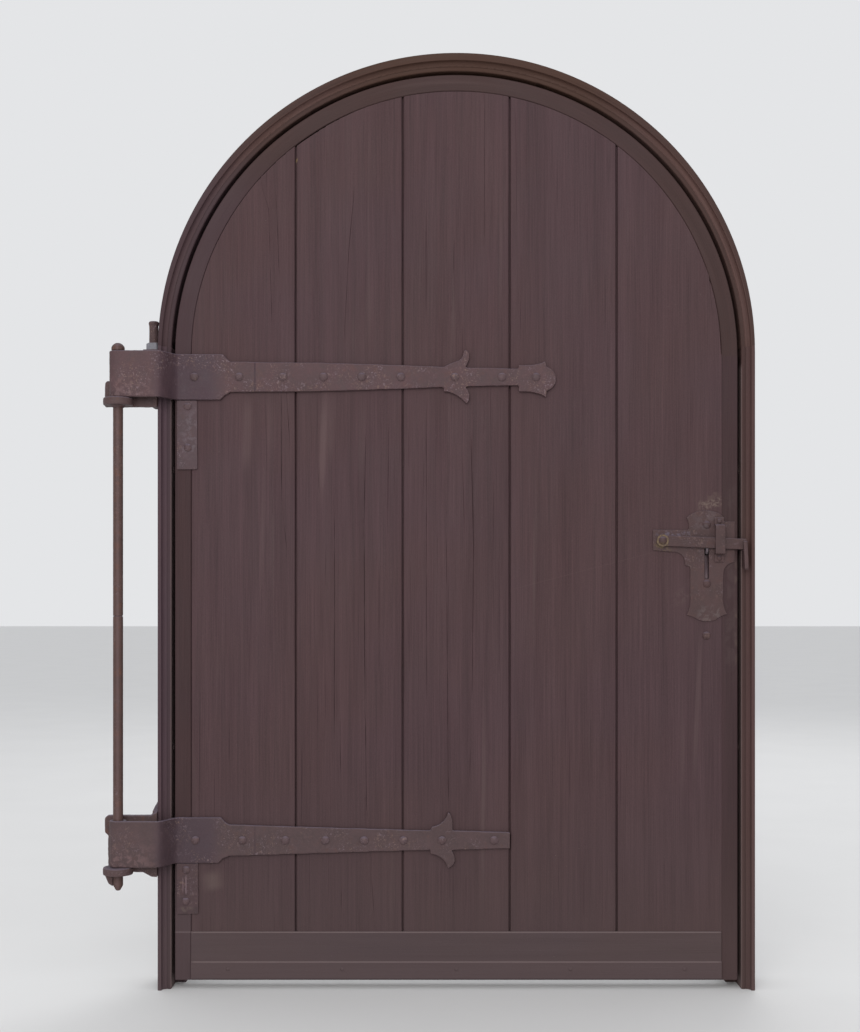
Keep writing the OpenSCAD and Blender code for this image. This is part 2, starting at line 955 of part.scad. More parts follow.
module stile_plate(zc, p, nails, ridges) {
  x0 = hx + 5;
  color([0.38, 0.32, 0.33])
    difference() {
      union() {
        front(-plate_t, 0)
          polygon([
            [x0 + 1, zc + p[1]], [x0 + p[0] - 2, zc + p[1]], [x0 + p[0], zc + p[1] + 3],
            [x0 + p[0] - 1, zc + p[2]], [x0, zc + p[2]], [x0, zc + p[1] + 2]
          ]);
        if (ridges)
          for (dx = [-4, 1])
            front(-plate_t - 1.4, -plate_t + eps)
              translate([hx + nails[1][0] + dx, zc + nails[1][1] + 14])
                square([1.8, nails[0][1] - nails[1][1] - 28]);
      }
      for (n = nails)
        rod_y(hx + n[0], zc + n[1], shank_r + slip, -plate_t - 2, 1);
    }
}

module stile_plate_upper()
  stile_plate(strap_up_z, up_plate, up_plate_nails, false);

module stile_plate_lower()
  stile_plate(strap_low_z, low_plate, low_plate_nails, true);

module stile_plate_nails()
  color([0.42, 0.35, 0.36]) {
    for (n = up_plate_nails)
      bolt(hx + n[0], -plate_t, strap_up_z + n[1], head_r - 1, 5, shank_r, leaf_t - 12);
    for (n = low_plate_nails)
      bolt(hx + n[0], -plate_t, strap_low_z + n[1], head_r - 1, 5, shank_r, leaf_t - 12);
  }

// ---------- the latch ----------

module plate_outline()
  polygon(concat(
    [[-115, -21], [-115, 23.5], [-41, 23]],
    bez([-38.5, 25], [-37, 40], [-44, 49]),
    bez([-44, 49], [-26, 65], [-4, 65]),
    bez([-4, 65], [24, 65], [36, 50]),
    [[38, 41], [60, 41], [60, -46]],
    bez([60, -46], [38, -50], [36, -70]),
    bez([35, -120], [34, -142], [44, -158]),
    bez([44, -158], [30, -161], [20, -170]),
    bez([20, -170], [0, -178], [-20, -169]),
    bez([-20, -169], [-32, -162], [-43, -160]),
    bez([-43, -160], [-34, -142], [-35, -120]),
    [[-35, -56], [-42, -54]],
    bez([-46, -52], [-47, -27], [-68, -24.5])
  ));

module latch_plate()
  color([0.36, 0.29, 0.29])
    difference() {
      front(-plate_th, 0)
        translate([cx, latch_z])
          plate_outline();
      latch_holes();
    }

module latch_rivets()
  color([0.38, 0.31, 0.31])
    bolt(cx, -plate_th, latch_z + plate_rivets[0], 9, 5, shank_r,
         plate_th + leaf_t + back_plate_t + 2);

module keeper()
  color([0.38, 0.31, 0.31])
    difference() {
      side(keep_x - keep_w / 2, keep_x + keep_w / 2)
        polygon([
          [-plate_th, keep_hi + keep_foot], [-plate_th, keep_hi], [-plate_th - keep_out, keep_hi],
          [-plate_th - keep_out, keep_lo], [-plate_th, keep_lo], [-plate_th, keep_lo - keep_foot],
          [-plate_th - keep_t, keep_lo - keep_foot], [-plate_th - keep_t, keep_lo - keep_t],
          [-plate_th - keep_out - keep_t + 2, keep_lo - keep_t],
          [-plate_th - keep_out - keep_t, keep_lo - keep_t + 2],
          [-plate_th - keep_out - keep_t, keep_hi + keep_t - 2],
          [-plate_th - keep_out - keep_t + 2, keep_hi + keep_t],
          [-plate_th - keep_t, keep_hi + keep_t], [-plate_th - keep_t, keep_hi + keep_foot]
        ]);
      for (z = keep_rivet_z)
        rod_y(keep_x, z, keep_shank_r + slip, -plate_th - keep_t - 9, 1);
    }

module keeper_rivets()
  color([0.38, 0.31, 0.31])
    for (z = keep_rivet_z)
      bolt(keep_x, -plate_th - keep_t, z, keep_rivet_r, 3.4, keep_shank_r, keep_grip);

module latch_bar()
  color([0.38, 0.31, 0.31])
    difference() {
      union() {
        front(bar_y0, bar_y1)
          polygon([
            [piv_x, latch_z - bar_h / 2], [piv_x + bar_l - 1.5, bar_tip_z - bar_h / 2],
            [piv_x + bar_l, bar_tip_z - bar_h / 2 + 2],
            [piv_x + bar_l, bar_tip_z + bar_h / 2 - 2],
            [piv_x + bar_l - 1.5, bar_tip_z + bar_h / 2], [piv_x, latch_z + bar_h / 2]
          ]);
        rod_y(piv_x, latch_z, bar_h / 2 + 0.6, bar_y0, bar_y1);
      }
      rod_y(piv_x, latch_z, piv_r + run, bar_y0 - 1, bar_y1 + 1);
    }

washer_t = 1.6;

module pivot_washer()
  color([0.62, 0.56, 0.40])
    difference() {
      rod_y(piv_x, latch_z, 13, bar_y0 - bar_gap - washer_t, bar_y0 - bar_gap);
      rod_y(piv_x, latch_z, piv_r + slip / 2, bar_y0 - 5, bar_y0 + 1);
    }

module pivot_bolt()
  color([0.38, 0.31, 0.30])
    bolt(piv_x, bar_y0 - bar_gap - washer_t, latch_z, 9.2, 6, piv_r,
         leaf_t - bar_y0 + bar_gap + washer_t + 10);

module pivot_nut()
  color([0.38, 0.33, 0.33])
    difference() {
      translate([piv_x, leaf_t, latch_z])
        rotate([-90, 0, 0])
          hex_nut(17, 8);
      rod_y(piv_x, latch_z, piv_r + slip / 2, leaf_t - 1, leaf_t + 9);
    }

module inside_plate()
  color([0.36, 0.30, 0.30])
    difference() {
      union() {
        block(cx - 20, cx + 20, leaf_t, leaf_t + back_plate_t, slot_lo + 5, latch_z + 52);
        for (s = [-1, 1])
          side(cx + s * (slot_w / 2 + ear_t / 2) - ear_t / 2, cx + s * (slot_w / 2 + ear_t / 2) + ear_t / 2)
            union() {
              translate([lever_y, lever_z])
                circle(r = 8);
              translate([leaf_t + 1, lever_z - 8])
                square([lever_y - leaf_t - 1, 16]);
            }
      }
      translate([cx - 20, lever_y, lever_z])
        rotate([0, 90, 0])
          cylinder(r = pin_r + slip / 2, h = 40);
      latch_holes();
    }

module lever_pin()
  color([0.40, 0.34, 0.34])
    translate([cx - slot_w / 2 - ear_t - 2, lever_y, lever_z])
      rotate([0, 90, 0])
        cylinder(r = pin_r, h = slot_w + 2 * ear_t + 4);

// the lift: a tongue through the slot under the bar, and a thumb curl behind
module lift_lever() {
  under = latch_z - bar_droop * 96 / bar_l - bar_h / 2 - 0.9;
  color([0.45, 0.46, 0.50])
    side(cx - lever_w / 2, cx + lever_w / 2)
      difference() {
        polygon(concat(
          [[lever_y - lever_reach, under], [lever_y - lever_reach, under - 7],
           [lever_y - lever_reach + 5, under - lever_h], [lever_y, lever_z - 7]],
          bez([lever_y + 6, lever_z - 8], [lever_y + 26, lever_z - 10], [lever_y + 38, lever_z + 8]),
          [[lever_y + 35, lever_z + 10]],
          bez([lever_y + 33, lever_z + 8], [lever_y + 22, lever_z + 1], [lever_y + 8, lever_z + 6]),
          [[lever_y, lever_z + 8], [lever_y - 14, under]]
        ));
        translate([lever_y, lever_z])
          circle(r = pin_r + run);
      }
}

module grasp_handle()
  color([0.36, 0.30, 0.30])
    difference() {
      union() {
        for (e = [[grip_hi, -1], [grip_lo, 1]]) {
          rod_y(cx, e[0], foot_r, leaf_t, leaf_t + foot_t);
          rod_y(cx, e[0], grip_r, leaf_t + 1, leaf_t + grip_out - grip_bend);
          translate([cx, leaf_t + grip_out - grip_bend, e[0] + e[1] * grip_bend])
            rotate([0, -90, 0])
              rotate([0, 0, e[1] > 0 ? 90 : 0])
                rotate_extrude(angle = 90)
                  translate([grip_bend, 0])
                    circle(r = grip_r);
        }
        translate([cx, leaf_t + grip_out, grip_lo + grip_bend])
          cylinder(r = grip_r, h = grip_hi - grip_lo - 2 * grip_bend);
      }
      for (z = [grip_hi, grip_lo])
        rod_y(cx, z, shank_r + slip, leaf_t - 1, leaf_t + 18);
    }

module handle_bolts()
  color([0.38, 0.31, 0.31]) {
    bolt(cx, -plate_th, grip_hi, 9, 5, shank_r, plate_th + leaf_t + 16);
    bolt(cx, 0, grip_lo, 9.4, 5.5, shank_r, leaf_t + 16);
  }

// ---------- output ----------

frame_post_left();
frame_post_right();
frame_head_left();
frame_head_middle();
frame_head_right();
frame_dowels();
upper_bracket();
lower_bracket();
bracket_bolts();
upper_hinge_rod();
lower_hinge_rod();
bracket_stud();
stud_nuts();
latch_catch();
plank_1();
plank_2();
plank_3();
plank_4();
plank_5();
stile_left();
stile_right();
rim_left();
rim_middle();
rim_right();
rim_dowels();
bottom_rail();
drip_board();
drip_nails();
ledge_upper();
ledge_middle();
ledge_lower();
ledge_screws();
strap_upper();
strap_lower();
strap_bolts_upper();
strap_bolts_lower();
strap_roves();
stile_plate_upper();
stile_plate_lower();
stile_plate_nails();
latch_plate();
latch_rivets();
keeper();
keeper_rivets();
pivot_bolt();
pivot_washer();
pivot_nut();
inside_plate();
lever_pin();
grasp_handle();
handle_bolts();
latch_bar();
lift_lever();
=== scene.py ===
import json
import math
import bmesh
import bpy
import numpy as np
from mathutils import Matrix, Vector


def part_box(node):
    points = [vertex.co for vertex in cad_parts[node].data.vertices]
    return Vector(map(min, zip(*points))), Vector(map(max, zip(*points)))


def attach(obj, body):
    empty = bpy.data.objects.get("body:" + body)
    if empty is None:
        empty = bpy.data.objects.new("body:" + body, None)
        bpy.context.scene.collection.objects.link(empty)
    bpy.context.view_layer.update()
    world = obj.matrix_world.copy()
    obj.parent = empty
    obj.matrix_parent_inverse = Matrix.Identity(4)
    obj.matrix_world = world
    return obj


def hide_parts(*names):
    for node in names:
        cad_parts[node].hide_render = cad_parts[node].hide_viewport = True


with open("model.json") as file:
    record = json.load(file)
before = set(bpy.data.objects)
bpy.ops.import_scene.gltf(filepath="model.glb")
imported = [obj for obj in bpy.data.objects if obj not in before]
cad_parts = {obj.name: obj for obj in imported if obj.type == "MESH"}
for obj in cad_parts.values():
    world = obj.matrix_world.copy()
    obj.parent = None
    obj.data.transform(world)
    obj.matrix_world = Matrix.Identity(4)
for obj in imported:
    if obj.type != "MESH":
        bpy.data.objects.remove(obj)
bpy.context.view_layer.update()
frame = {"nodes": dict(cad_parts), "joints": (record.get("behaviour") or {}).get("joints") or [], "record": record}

N = frame["nodes"]
SC = bpy.context.scene
SC.view_settings.view_transform = "Standard"
BODY = {n: b for b, ns in frame["record"]["behaviour"]["bodies"].items() for n in ns}

# ---------- the object's main lines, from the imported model, in metres ----------
PLANK_R = -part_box("plank_1")[0].x           # half the planked field's width, its arch's radius
RAIL_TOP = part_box("plank_3")[0].z
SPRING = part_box("plank_3")[1].z - PLANK_R   # height of the arch's centre
PLANK_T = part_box("plank_3")[1].y
HINGE_X = frame["joints"][0]["pos_m"][0]
HINGE_Y = frame["joints"][0]["pos_m"][1]
SLOT_X = (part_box("lift_lever")[0].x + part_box("lift_lever")[1].x) / 2
POST_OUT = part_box("frame_post_right")[1].x
# the painted light that lifts the frame's cove is laid between these radii
COVE = (POST_OUT - 0.0185, POST_OUT - 0.0075)        # the head's cove: inner and outer radius
POST_COVE = (POST_OUT - 0.0175, POST_OUT - 0.001)    # the same on the posts
RAIL_LINE = RAIL_TOP - 0.0016                        # paint-filled edges along the foot
DRIP_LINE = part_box("drip_board")[1].z - 0.001

# ---------- joints between the boards ----------
JOINT, TONGUE = 0.0034, 0.007   # open joint's width, tongue's length
FILL = 0.001                    # how far paint fills the joint round the planked field
PAINT_LIP = 0.0013              # the last plank's paint runs on over the stile
END_FILL = 0.00145              # the rail's ends, drawn up to the stiles
CRACK_HALF = 0.0012             # half the mesh band that a crack opens in
COLUMN, ROW = 0.0052, 0.011     # a plank's mesh: steps across and along it
CLEAR = 0.0034                  # other columns keep this far from a crack

# ---------- the straps' eyes: distances from the hinge's axis ----------
EYE_BORE = 0.0115               # the drawn bore, clear of the rod's uneven skin
BORE_SKIN = 0.0125              # what lies nearer than this is the bore's own skin
EYE_SKIN, FADE = 0.0135, 0.004  # the dents start here and are full a little further out

# ---------- paint ----------
BOARD_W = 0.23                  # the planks' pitch, which parts their grain
ARCH_R = 0.6                    # radius that turns an angle on the arch into a length of grain
NARROW = 0.1                    # marks with a smaller half width stay on the front
FRONT = (0.042, 0.034)          # depths between which such a mark fades in


# ---------- seeded noise ----------
def lattice(i, j, k, seed):
    n = (i * 73856093) ^ (j * 19349663) ^ (k * 83492791) ^ (seed * 4256233)
    n = (n ^ (n >> 13)) & 0x7FFFFFFF
    n = (n * 1274126177) & 0x7FFFFFFF
    n = ((n ^ (n >> 11)) * 668265263) & 0x7FFFFFFF
    return (n >> 7) / float(0xFFFFFF) * 2 - 1


def vnoise(p, seed):
    """Value noise at the points p, from -1 to 1."""
    q = np.floor(p)
    f = p - q
    f = f * f * (3 - 2 * f)
    i, j, k = (q[:, a].astype(np.int64) + 4096 for a in range(3))
    out = np.zeros(len(p))
    for a in (0, 1):
        for b in (0, 1):
            for c in (0, 1):
                w = abs(1 - a - f[:, 0]) * abs(1 - b - f[:, 1]) * abs(1 - c - f[:, 2])
                out += w * lattice(i + a, j + b, k + c, seed)
    return out


def fbm(p, seed, octaves=3):
    """Octaves of value noise, each half as strong and twice as fine."""
    out, amp = 0, 1.0
    for o in range(octaves):
        out = out + amp * vnoise(p * 2 ** o + 17.3 * o, seed + o)
        amp *= 0.5
    return out


# ---------- mesh helpers ----------
def link(name, me):
    ob = bpy.data.objects.new(name, me)
    SC.collection.objects.link(ob)
    return ob


def coords(me):
    co = np.zeros(len(me.vertices) * 3, np.float32)
    me.vertices.foreach_get("co", co)
    return co.reshape(-1, 3).astype(float)


def normals(me):
    no = np.zeros(len(me.vertices) * 3, np.float32)
    me.vertices.foreach_get("normal", no)
    return no.reshape(-1, 3).astype(float)


def put(me, co):
    me.vertices.foreach_set("co", co.astype(np.float32).ravel())
    me.update()


def smooth_shade(me, on=True):
    me.polygons.foreach_set("use_smooth", [on] * len(me.polygons))


def applied(ob):
    """The object's mesh with its modifiers applied."""
    dg = bpy.context.evaluated_depsgraph_get()
    me = bpy.data.meshes.new_from_object(ob.evaluated_get(dg))
    ob.modifiers.clear()
    ob.data = me
    return me


def forged(node, mat, voxel, fine, broad, smooth, seed, dent, bore=False):
    """A hammered piece in place of a CAD node: same shape, softened edges and an uneven skin."""
    bm = bmesh.new()
    bm.from_mesh(N[node].data)
    bmesh.ops.remove_doubles(bm, verts=bm.verts, dist=1e-6)
    me = bpy.data.meshes.new(node + "_forged")
    bm.to_mesh(me)
    bm.free()
    ob = link(node + "_forged", me)
    lo, hi = (list(corner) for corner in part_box(node))
    r = ob.modifiers.new("remesh", "REMESH")
    r.mode = "VOXEL"
    r.voxel_size = voxel
    s = ob.modifiers.new("smooth", "SMOOTH")
    s.factor = 0.5
    s.iterations = smooth
    me = applied(ob)
    co, no = coords(me), normals(me)
    d = fine * fbm(co / 0.005, seed) + broad * fbm(co / dent, seed + 9, 2)
    pin = np.array((HINGE_X, HINGE_Y))
    if bore:
        # the eye's bore stays true and clear of the rod
        rad = np.hypot(*(co[:, :2] - pin).T)
        d = d * np.clip((rad - EYE_SKIN) / FADE, 0, 1)
    co = co + no * d[:, None]
    if bore:
        rel = co[:, :2] - pin
        rad = np.hypot(*rel.T)
        inner = rad < BORE_SKIN
        co[inner, :2] = pin + rel[inner] / rad[inner, None] * EYE_BORE
    put(me, np.clip(co, lo, hi))
    smooth_shade(me)
    me.materials.clear()
    me.materials.append(mat)
    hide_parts(node)
    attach(ob, BODY[node])


def worn_arris(ob, bevel, harden=True):
    """Welds the CAD mesh and rounds its sharp edges."""
    w = ob.modifiers.new("weld", "WELD")
    w.merge_threshold = 0.00001
    b = ob.modifiers.new("arris", "BEVEL")
    b.width = bevel
    b.segments = 2
    b.limit_method = "ANGLE"
    b.angle_limit = math.radians(32)
    b.harden_normals = harden


def dressed(nodes, mat, bevel):
    """CAD nodes that keep their shape: a fine worn arris and a proper material."""
    for n in nodes:
        N[n].data.materials.clear()
        N[n].data.materials.append(mat)
        worn_arris(N[n], bevel)


# ---------- shader helpers ----------
def lin(rgb, k=1.0, sheen=0.0):
    """A linear colour for a seen one: less the studio's grey sheen on it, times k."""
    def one(v):
        v = v / 255
        return v / 12.92 if v < 0.04045 else ((v + 0.055) / 1.055) ** 2.4
    return tuple(min(max(one(v) - sheen, 0.004) * k, 1) for v in rgb) + (1,)


def wood(rgb, k=1.0):
    """Base colour of painted wood that is seen as rgb."""
    return lin(rgb, 0.93 * k, 0.0175)


def iron(rgb, k=1.0):
    """Base colour of painted iron that is seen as rgb."""
    return lin(rgb, 0.93 * k, 0.024)


class Mat:
    """A short way to write node materials."""

    def __init__(self, name):
        self.m = bpy.data.materials.new(name)
        self.m.use_nodes = True
        self.t = self.m.node_tree
        self.b = self.t.nodes["Principled BSDF"]
        self.p = self.node("ShaderNodeTexCoord").outputs["Object"]

    def node(self, kind, ins=(), **props):
        n = self.t.nodes.new(kind)
        for k, v in props.items():
            setattr(n, k, v)
        for i, v in enumerate(ins):
            if v is not None:
                self.feed(n.inputs[i], v)
        return n

    def feed(self, socket, v):
        if isinstance(v, bpy.types.NodeSocket):
            self.t.links.new(v, socket)
        else:
            socket.default_value = v

    def math(self, op, a, b=None):
        return self.node("ShaderNodeMath", (a, b), operation=op).outputs[0]

    def split(self, v):
        return self.node("ShaderNodeSeparateXYZ", (v,)).outputs

    def join(self, x, y, z):
        return self.node("ShaderNodeCombineXYZ", (x, y, z)).outputs[0]

    def scaled(self, v, s):
        return self.node("ShaderNodeVectorMath", (v, s), operation="MULTIPLY").outputs[0]

    def shifted(self, v, s):
        return self.node("ShaderNodeVectorMath", (v, s), operation="ADD").outputs[0]

    def noise(self, v, scale=1.0, detail=3.0, rough=0.55, warp=0.0):
        n = self.node("ShaderNodeTexNoise")
        self.feed(n.inputs["Vector"], v)
        n.inputs["Scale"].default_value = scale
        n.inputs["Detail"].default_value = detail
        n.inputs["Roughness"].default_value = rough
        n.inputs["Distortion"].default_value = warp
        return n.outputs[0]

    def ramp(self, v, lo, hi, a=0.0, b=1.0):
        """v from lo..hi to a..b, held at the ends, eased."""
        n = self.node("ShaderNodeMapRange", interpolation_type="SMOOTHSTEP")
        for i, x in enumerate((v, lo, hi, a, b)):
            self.feed(n.inputs[i], x)
        return n.outputs[0]

    def mix(self, f, a, b, kind="MIX"):
        n = self.node("ShaderNodeMix", data_type="RGBA", blend_type=kind)
        self.feed(n.inputs[0], f)
        self.feed(n.inputs[6], a)
        self.feed(n.inputs[7], b)
        return n.outputs[2]

    def sum(self, start, *terms):
        """start + k * (value - 0.5) for each (value, k)."""
        for v, k in terms:
            start = self.math("ADD", start, self.math("MULTIPLY", self.math("SUBTRACT", v, 0.5), k))
        return start

    def spot(self, a, b, half, soft, ragged=0.0):
        """1 along a soft stroke in the front view from a = (x, z) to b = (x, z), 0 away from it."""
        x, _, z = self.split(self.p)
        d = np.array(b, float) - a
        run = float(np.hypot(*d)) or 1e-6
        u = d / run
        dx, dz = self.math("SUBTRACT", x, a[0]), self.math("SUBTRACT", z, a[1])
        along = self.math("ADD", self.math("MULTIPLY", dx, u[0]), self.math("MULTIPLY", dz, u[1]))
        over = self.math("ADD", self.math("MULTIPLY", dx, u[1]), self.math("MULTIPLY", dz, -u[0]))
        m = self.ramp(self.math("ABSOLUTE", over), half, half * 0.3)
        m = self.math("MULTIPLY", m, self.ramp(along, -soft, soft))
        m = self.math("MULTIPLY", m, self.ramp(along, run + soft, run - soft))
        if ragged:
            torn = self.ramp(self.noise(self.p, ragged, 3, 0.6, 0.5), 0.46, 0.6)
            m = self.math("MULTIPLY", m, torn)
        return m

    def marked(self, col, marks):
        """Lays marks over a colour: (a, b, half width, soft end, strength, rgb, ragged).

        A narrow mark stays on the front; a wide one tints the piece right through."""
        front = self.ramp(self.split(self.p)[1], *FRONT)
        for a, b, half, soft, k, rgb, ragged in marks:
            m = self.spot(a, b, half, soft, ragged)
            if half < NARROW:
                m = self.math("MULTIPLY", m, front)
            col = self.mix(self.math("MULTIPLY", m, k), col, wood(rgb))
        return col

    def bump(self, height, distance, strength=1.0, under=None):
        n = self.node("ShaderNodeBump")
        n.inputs["Strength"].default_value = strength
        n.inputs["Distance"].default_value = distance
        self.feed(n.inputs["Height"], height)
        if under is not None:
            self.feed(n.inputs["Normal"], under)
        return n.outputs["Normal"]

    def finish(self, colour, rough, normal, specular=0.35):
        self.feed(self.b.inputs["Base Color"], colour)
        self.feed(self.b.inputs["Roughness"], rough)
        self.feed(self.b.inputs["Normal"], normal)
        self.b.inputs["Specular IOR Level"].default_value = specular
        return self.m


def grain_coords(w, run):
    """Across, depth and along the grain, for boards that stand, lie or follow the arch."""
    x, y, z = w.split(w.p)
    if run == "stand":
        plank_no = w.math("FLOOR", w.math("ADD", w.math("DIVIDE", x, BOARD_W), 2.5))
        return w.join(w.math("ADD", x, w.math("MULTIPLY", plank_no, 3.7)), y, z)
    if run == "lie":
        return w.join(z, y, x)
    up = w.math("MAXIMUM", w.math("SUBTRACT", z, SPRING), 0.0)
    r = w.math("SQRT", w.math("ADD", w.math("MULTIPLY", x, x), w.math("MULTIPLY", up, up)))
    a = w.math("ARCTAN2", x, up)
    low = w.math("MINIMUM", w.math("SUBTRACT", z, SPRING), 0.0)
    side = w.math("SIGN", x)
    along = w.math("SUBTRACT", w.math("MULTIPLY", a, ARCH_R), w.math("MULTIPLY", low, side))
    return w.join(r, y, along)


def painted_wood(name, rgb, run="stand", seed=0.0, lines=1.0, dust=1.0, marks=(),
                 cove=None, pale=1.6):
    """Old matt paint on a board that stands, lies or follows the arch.

    lines and dust weigh the grain and the dust; in cove, a band of radii, the colour is lifted pale as painted
    light against the cove's own shade."""
    w = Mat(name)
    g = grain_coords(w, run)
    radius = w.split(g)[0]
    g = w.shifted(g, (seed, seed * 0.7, seed * 1.3))
    fine = w.noise(w.scaled(g, (560, 60, 7)), 1, 3, 0.62)
    mid = w.noise(w.scaled(g, (170, 30, 2.4)), 1, 3, 0.55, 0.25)
    wide = w.noise(w.scaled(g, (34, 10, 1.4)), 1, 2, 0.5)
    cloud = w.noise(w.p, 6.0, 3, 0.6)
    speck = w.noise(w.p, 520.0, 2, 0.6)
    f = w.sum(0.5, (fine, 1.1 * lines), (mid, 1.1 * lines), (wide, 0.8), (cloud, 0.4), (speck, 0.9))
    f = w.math("MINIMUM", w.math("MAXIMUM", f, 0.0), 1.0)
    col = w.mix(f, wood([0.875 * v for v in rgb]), wood([1.115 * v for v in rgb]))
    # the paint drifts between purple and brown
    hue = w.ramp(w.noise(w.p, 2.6, 2, 0.5), 0.38, 0.62)
    drift = w.mix(hue, (0.995, 0.995, 1.025, 1), (1.012, 0.998, 0.975, 1))
    col = w.mix(1.0, col, drift, "MULTIPLY")
    # thin dark pores and checks along the grain
    pores = w.noise(w.scaled(g, (330, 40, 3.0)), 1, 2, 0.5)
    where = w.ramp(w.noise(w.scaled(g, (18, 5, 1.3)), 1, 1, 0.5), 0.42, 0.62)
    check = w.math("MULTIPLY", w.ramp(pores, 0.35, 0.29), where)
    col = w.mix(w.math("MULTIPLY", check, 0.4 * lines), col, wood((52, 40, 46)))
    # pale run marks where rain carried dust down
    runs = w.ramp(w.noise(w.scaled(g, (40, 8, 1.6)), 1, 2, 0.4), 0.64, 0.78)
    col = w.mix(w.math("MULTIPLY", runs, 0.2 * dust), col, wood((112, 96, 94)))
    # small chips and flecks
    flecks = w.ramp(w.noise(w.p, 260.0, 1, 0.5), 0.765, 0.81)
    spots = w.ramp(w.noise(w.p, 9.0, 2, 0.5), 0.5, 0.66)
    flecks = w.math("MULTIPLY", flecks, spots)
    col = w.mix(w.math("MULTIPLY", flecks, 0.6), col, wood((130, 116, 110)))
    # splash dust towards the floor
    z = w.split(w.p)[2]
    low = w.math("MULTIPLY", w.ramp(z, 0.55, 0.02), w.ramp(cloud, 0.2, 0.7, 0.55, 1.0))
    col = w.mix(w.math("MULTIPLY", low, 0.55 * dust), col, wood((86, 74, 73)))
    if cove:
        # painted light: the frame's cove is lifted pale against its own shade
        cove_band = w.math("MULTIPLY", w.ramp(radius, cove[0] - 0.002, cove[0] + 0.001),
                      w.ramp(radius, cove[1] + 0.002, cove[1] - 0.001))
        col = w.mix(cove_band, col, w.mix(1.0, col, (pale, pale * 1.01, pale * 1.03, 1), "MULTIPLY"))
    col = w.marked(col, marks)
    n1 = w.bump(w.sum(0.0, (fine, 1.0), (mid, 0.8), (check, -1.2 * lines)), 0.0005, 0.6)
    n2 = w.bump(speck, 0.0002, 0.35, n1)
    rough = w.ramp(w.sum(0.5, (mid, 0.8), (cloud, 0.7)), 0.2, 0.8, 0.6, 0.8)
    return w.finish(col, rough, n2, specular=0.22)


def painted_iron(name, rgb, seed=0.0, chips=1.0, rust=0.3, sky_light=1.0, marks=()):
    """Forged iron painted with the door: chipped, a little rusty, with painted bluish sky light where it faces up.
    """
    w = Mat(name)
    p = w.shifted(w.p, (seed, seed * 1.7, seed * 0.6))
    cloud = w.noise(p, 38.0, 4, 0.62)
    grit = w.noise(p, 420.0, 3, 0.6)
    broad = w.noise(p, 9.0, 2, 0.5)
    f = w.sum(0.5, (cloud, 1.2), (grit, 0.9), (broad, 0.5))
    f = w.math("MINIMUM", w.math("MAXIMUM", f, 0.0), 1.0)
    col = w.mix(f, iron(rgb, 0.68), iron(rgb, 1.36))
    # rust showing through in soft patches
    old = w.ramp(w.noise(p, 55.0, 4, 0.65), 0.54, 0.7)
    col = w.mix(w.math("MULTIPLY", old, rust), col, iron((112, 78, 64)))
    col = w.marked(col, marks)
    # chips down to pale primer, in clusters, and fine curved scratches
    chip = w.ramp(w.noise(p, 290.0, 2, 0.6, 0.5), 0.61, 0.64)
    flake = w.ramp(w.noise(p, 130.0, 3, 0.65, 0.6), 0.6, 0.64)
    chip = w.math("MAXIMUM", chip, w.math("MULTIPLY", flake, 0.75))
    line = w.math("ABSOLUTE", w.math("SUBTRACT", w.noise(p, 120.0, 1, 0.5, 1.2), 0.5))
    chip = w.math("MAXIMUM", chip, w.math("MULTIPLY", w.ramp(line, 0.014, 0.004), 0.6))
    patch = w.ramp(w.noise(p, 15.0, 2, 0.5), 0.44, 0.6, 0.1, 1.0)
    chip = w.math("MULTIPLY", chip, patch)
    shade = w.ramp(w.noise(p, 60.0, 1, 0.5), 0.4, 0.6)
    tone = w.mix(shade, iron((136, 114, 106)), iron((132, 116, 122)))
    col = w.mix(w.math("MULTIPLY", chip, 0.6 * chips), col, tone)
    # worn arrises, and painted bluish sky light on what faces up
    geo = w.node("ShaderNodeNewGeometry")
    worn = w.ramp(geo.outputs["Pointiness"], 0.515, 0.6)
    col = w.mix(w.math("MULTIPLY", worn, 0.45), col, iron((126, 108, 110)))
    up = w.ramp(w.split(geo.outputs["Normal"])[2], 0.25, 0.75)
    col = w.mix(w.math("MULTIPLY", up, 0.4 * sky_light), col, iron((124, 116, 132)))
    n1 = w.bump(w.sum(0.0, (grit, 1.0), (chip, -0.8)), 0.0005, 0.7)
    n2 = w.bump(cloud, 0.0012, 0.6, n1)
    rough = w.ramp(w.sum(0.5, (cloud, 0.8), (grit, 0.6)), 0.2, 0.8, 0.54, 0.78)
    return w.finish(col, rough, n2, specular=0.3)


# ---------- camera: level, at chest height, 3 m in front ----------
cam = bpy.data.cameras.new("camera")
cam.lens = 48.67
cam.sensor_width = 36
cam.shift_y = 0.0717
cam_ob = link("camera", cam)
cam_ob.location = (-0.0565, -3.0, 0.858)
cam_ob.rotation_euler = (math.radians(90), 0, 0)
SC.camera = cam_ob

# ---------- floor and light ----------
me = bpy.data.meshes.new("floor")
me.from_pydata([(-30, -30, 0), (30, -30, 0), (30, 30, 0), (-30, 30, 0)], [], [(0, 1, 2, 3)])
floor = link("floor", me)
fm = Mat("pale_floor")
fc = fm.mix(fm.noise(fm.p, 3.0, 3, 0.5), (0.70, 0.70, 0.70, 1), (0.74, 0.74, 0.74, 1))
me.materials.append(fm.finish(fc, 0.85, fm.bump(fm.noise(fm.p, 200.0, 2, 0.5), 0.0005, 0.1)))

world = bpy.data.worlds.new("studio")
SC.world = world
world.use_nodes = True
world.node_tree.nodes["Background"].inputs[0].default_value = (0.97, 0.98, 1.0, 1)
world.node_tree.nodes["Background"].inputs[1].default_value = 0.8


def area(name, at, towards, size, power, colour=(1, 1, 1)):
    lamp = bpy.data.lights.new(name, "AREA")
    lamp.shape = "SQUARE"
    lamp.size = size
    lamp.energy = power
    lamp.color = colour
    ob = link(name, lamp)
    ob.location = at
    d = np.array(at, float) - np.array(towards, float)
    ob.rotation_euler = (math.atan2(math.hypot(d[0], d[1]), d[2]), 0, math.atan2(d[0], -d[1]))


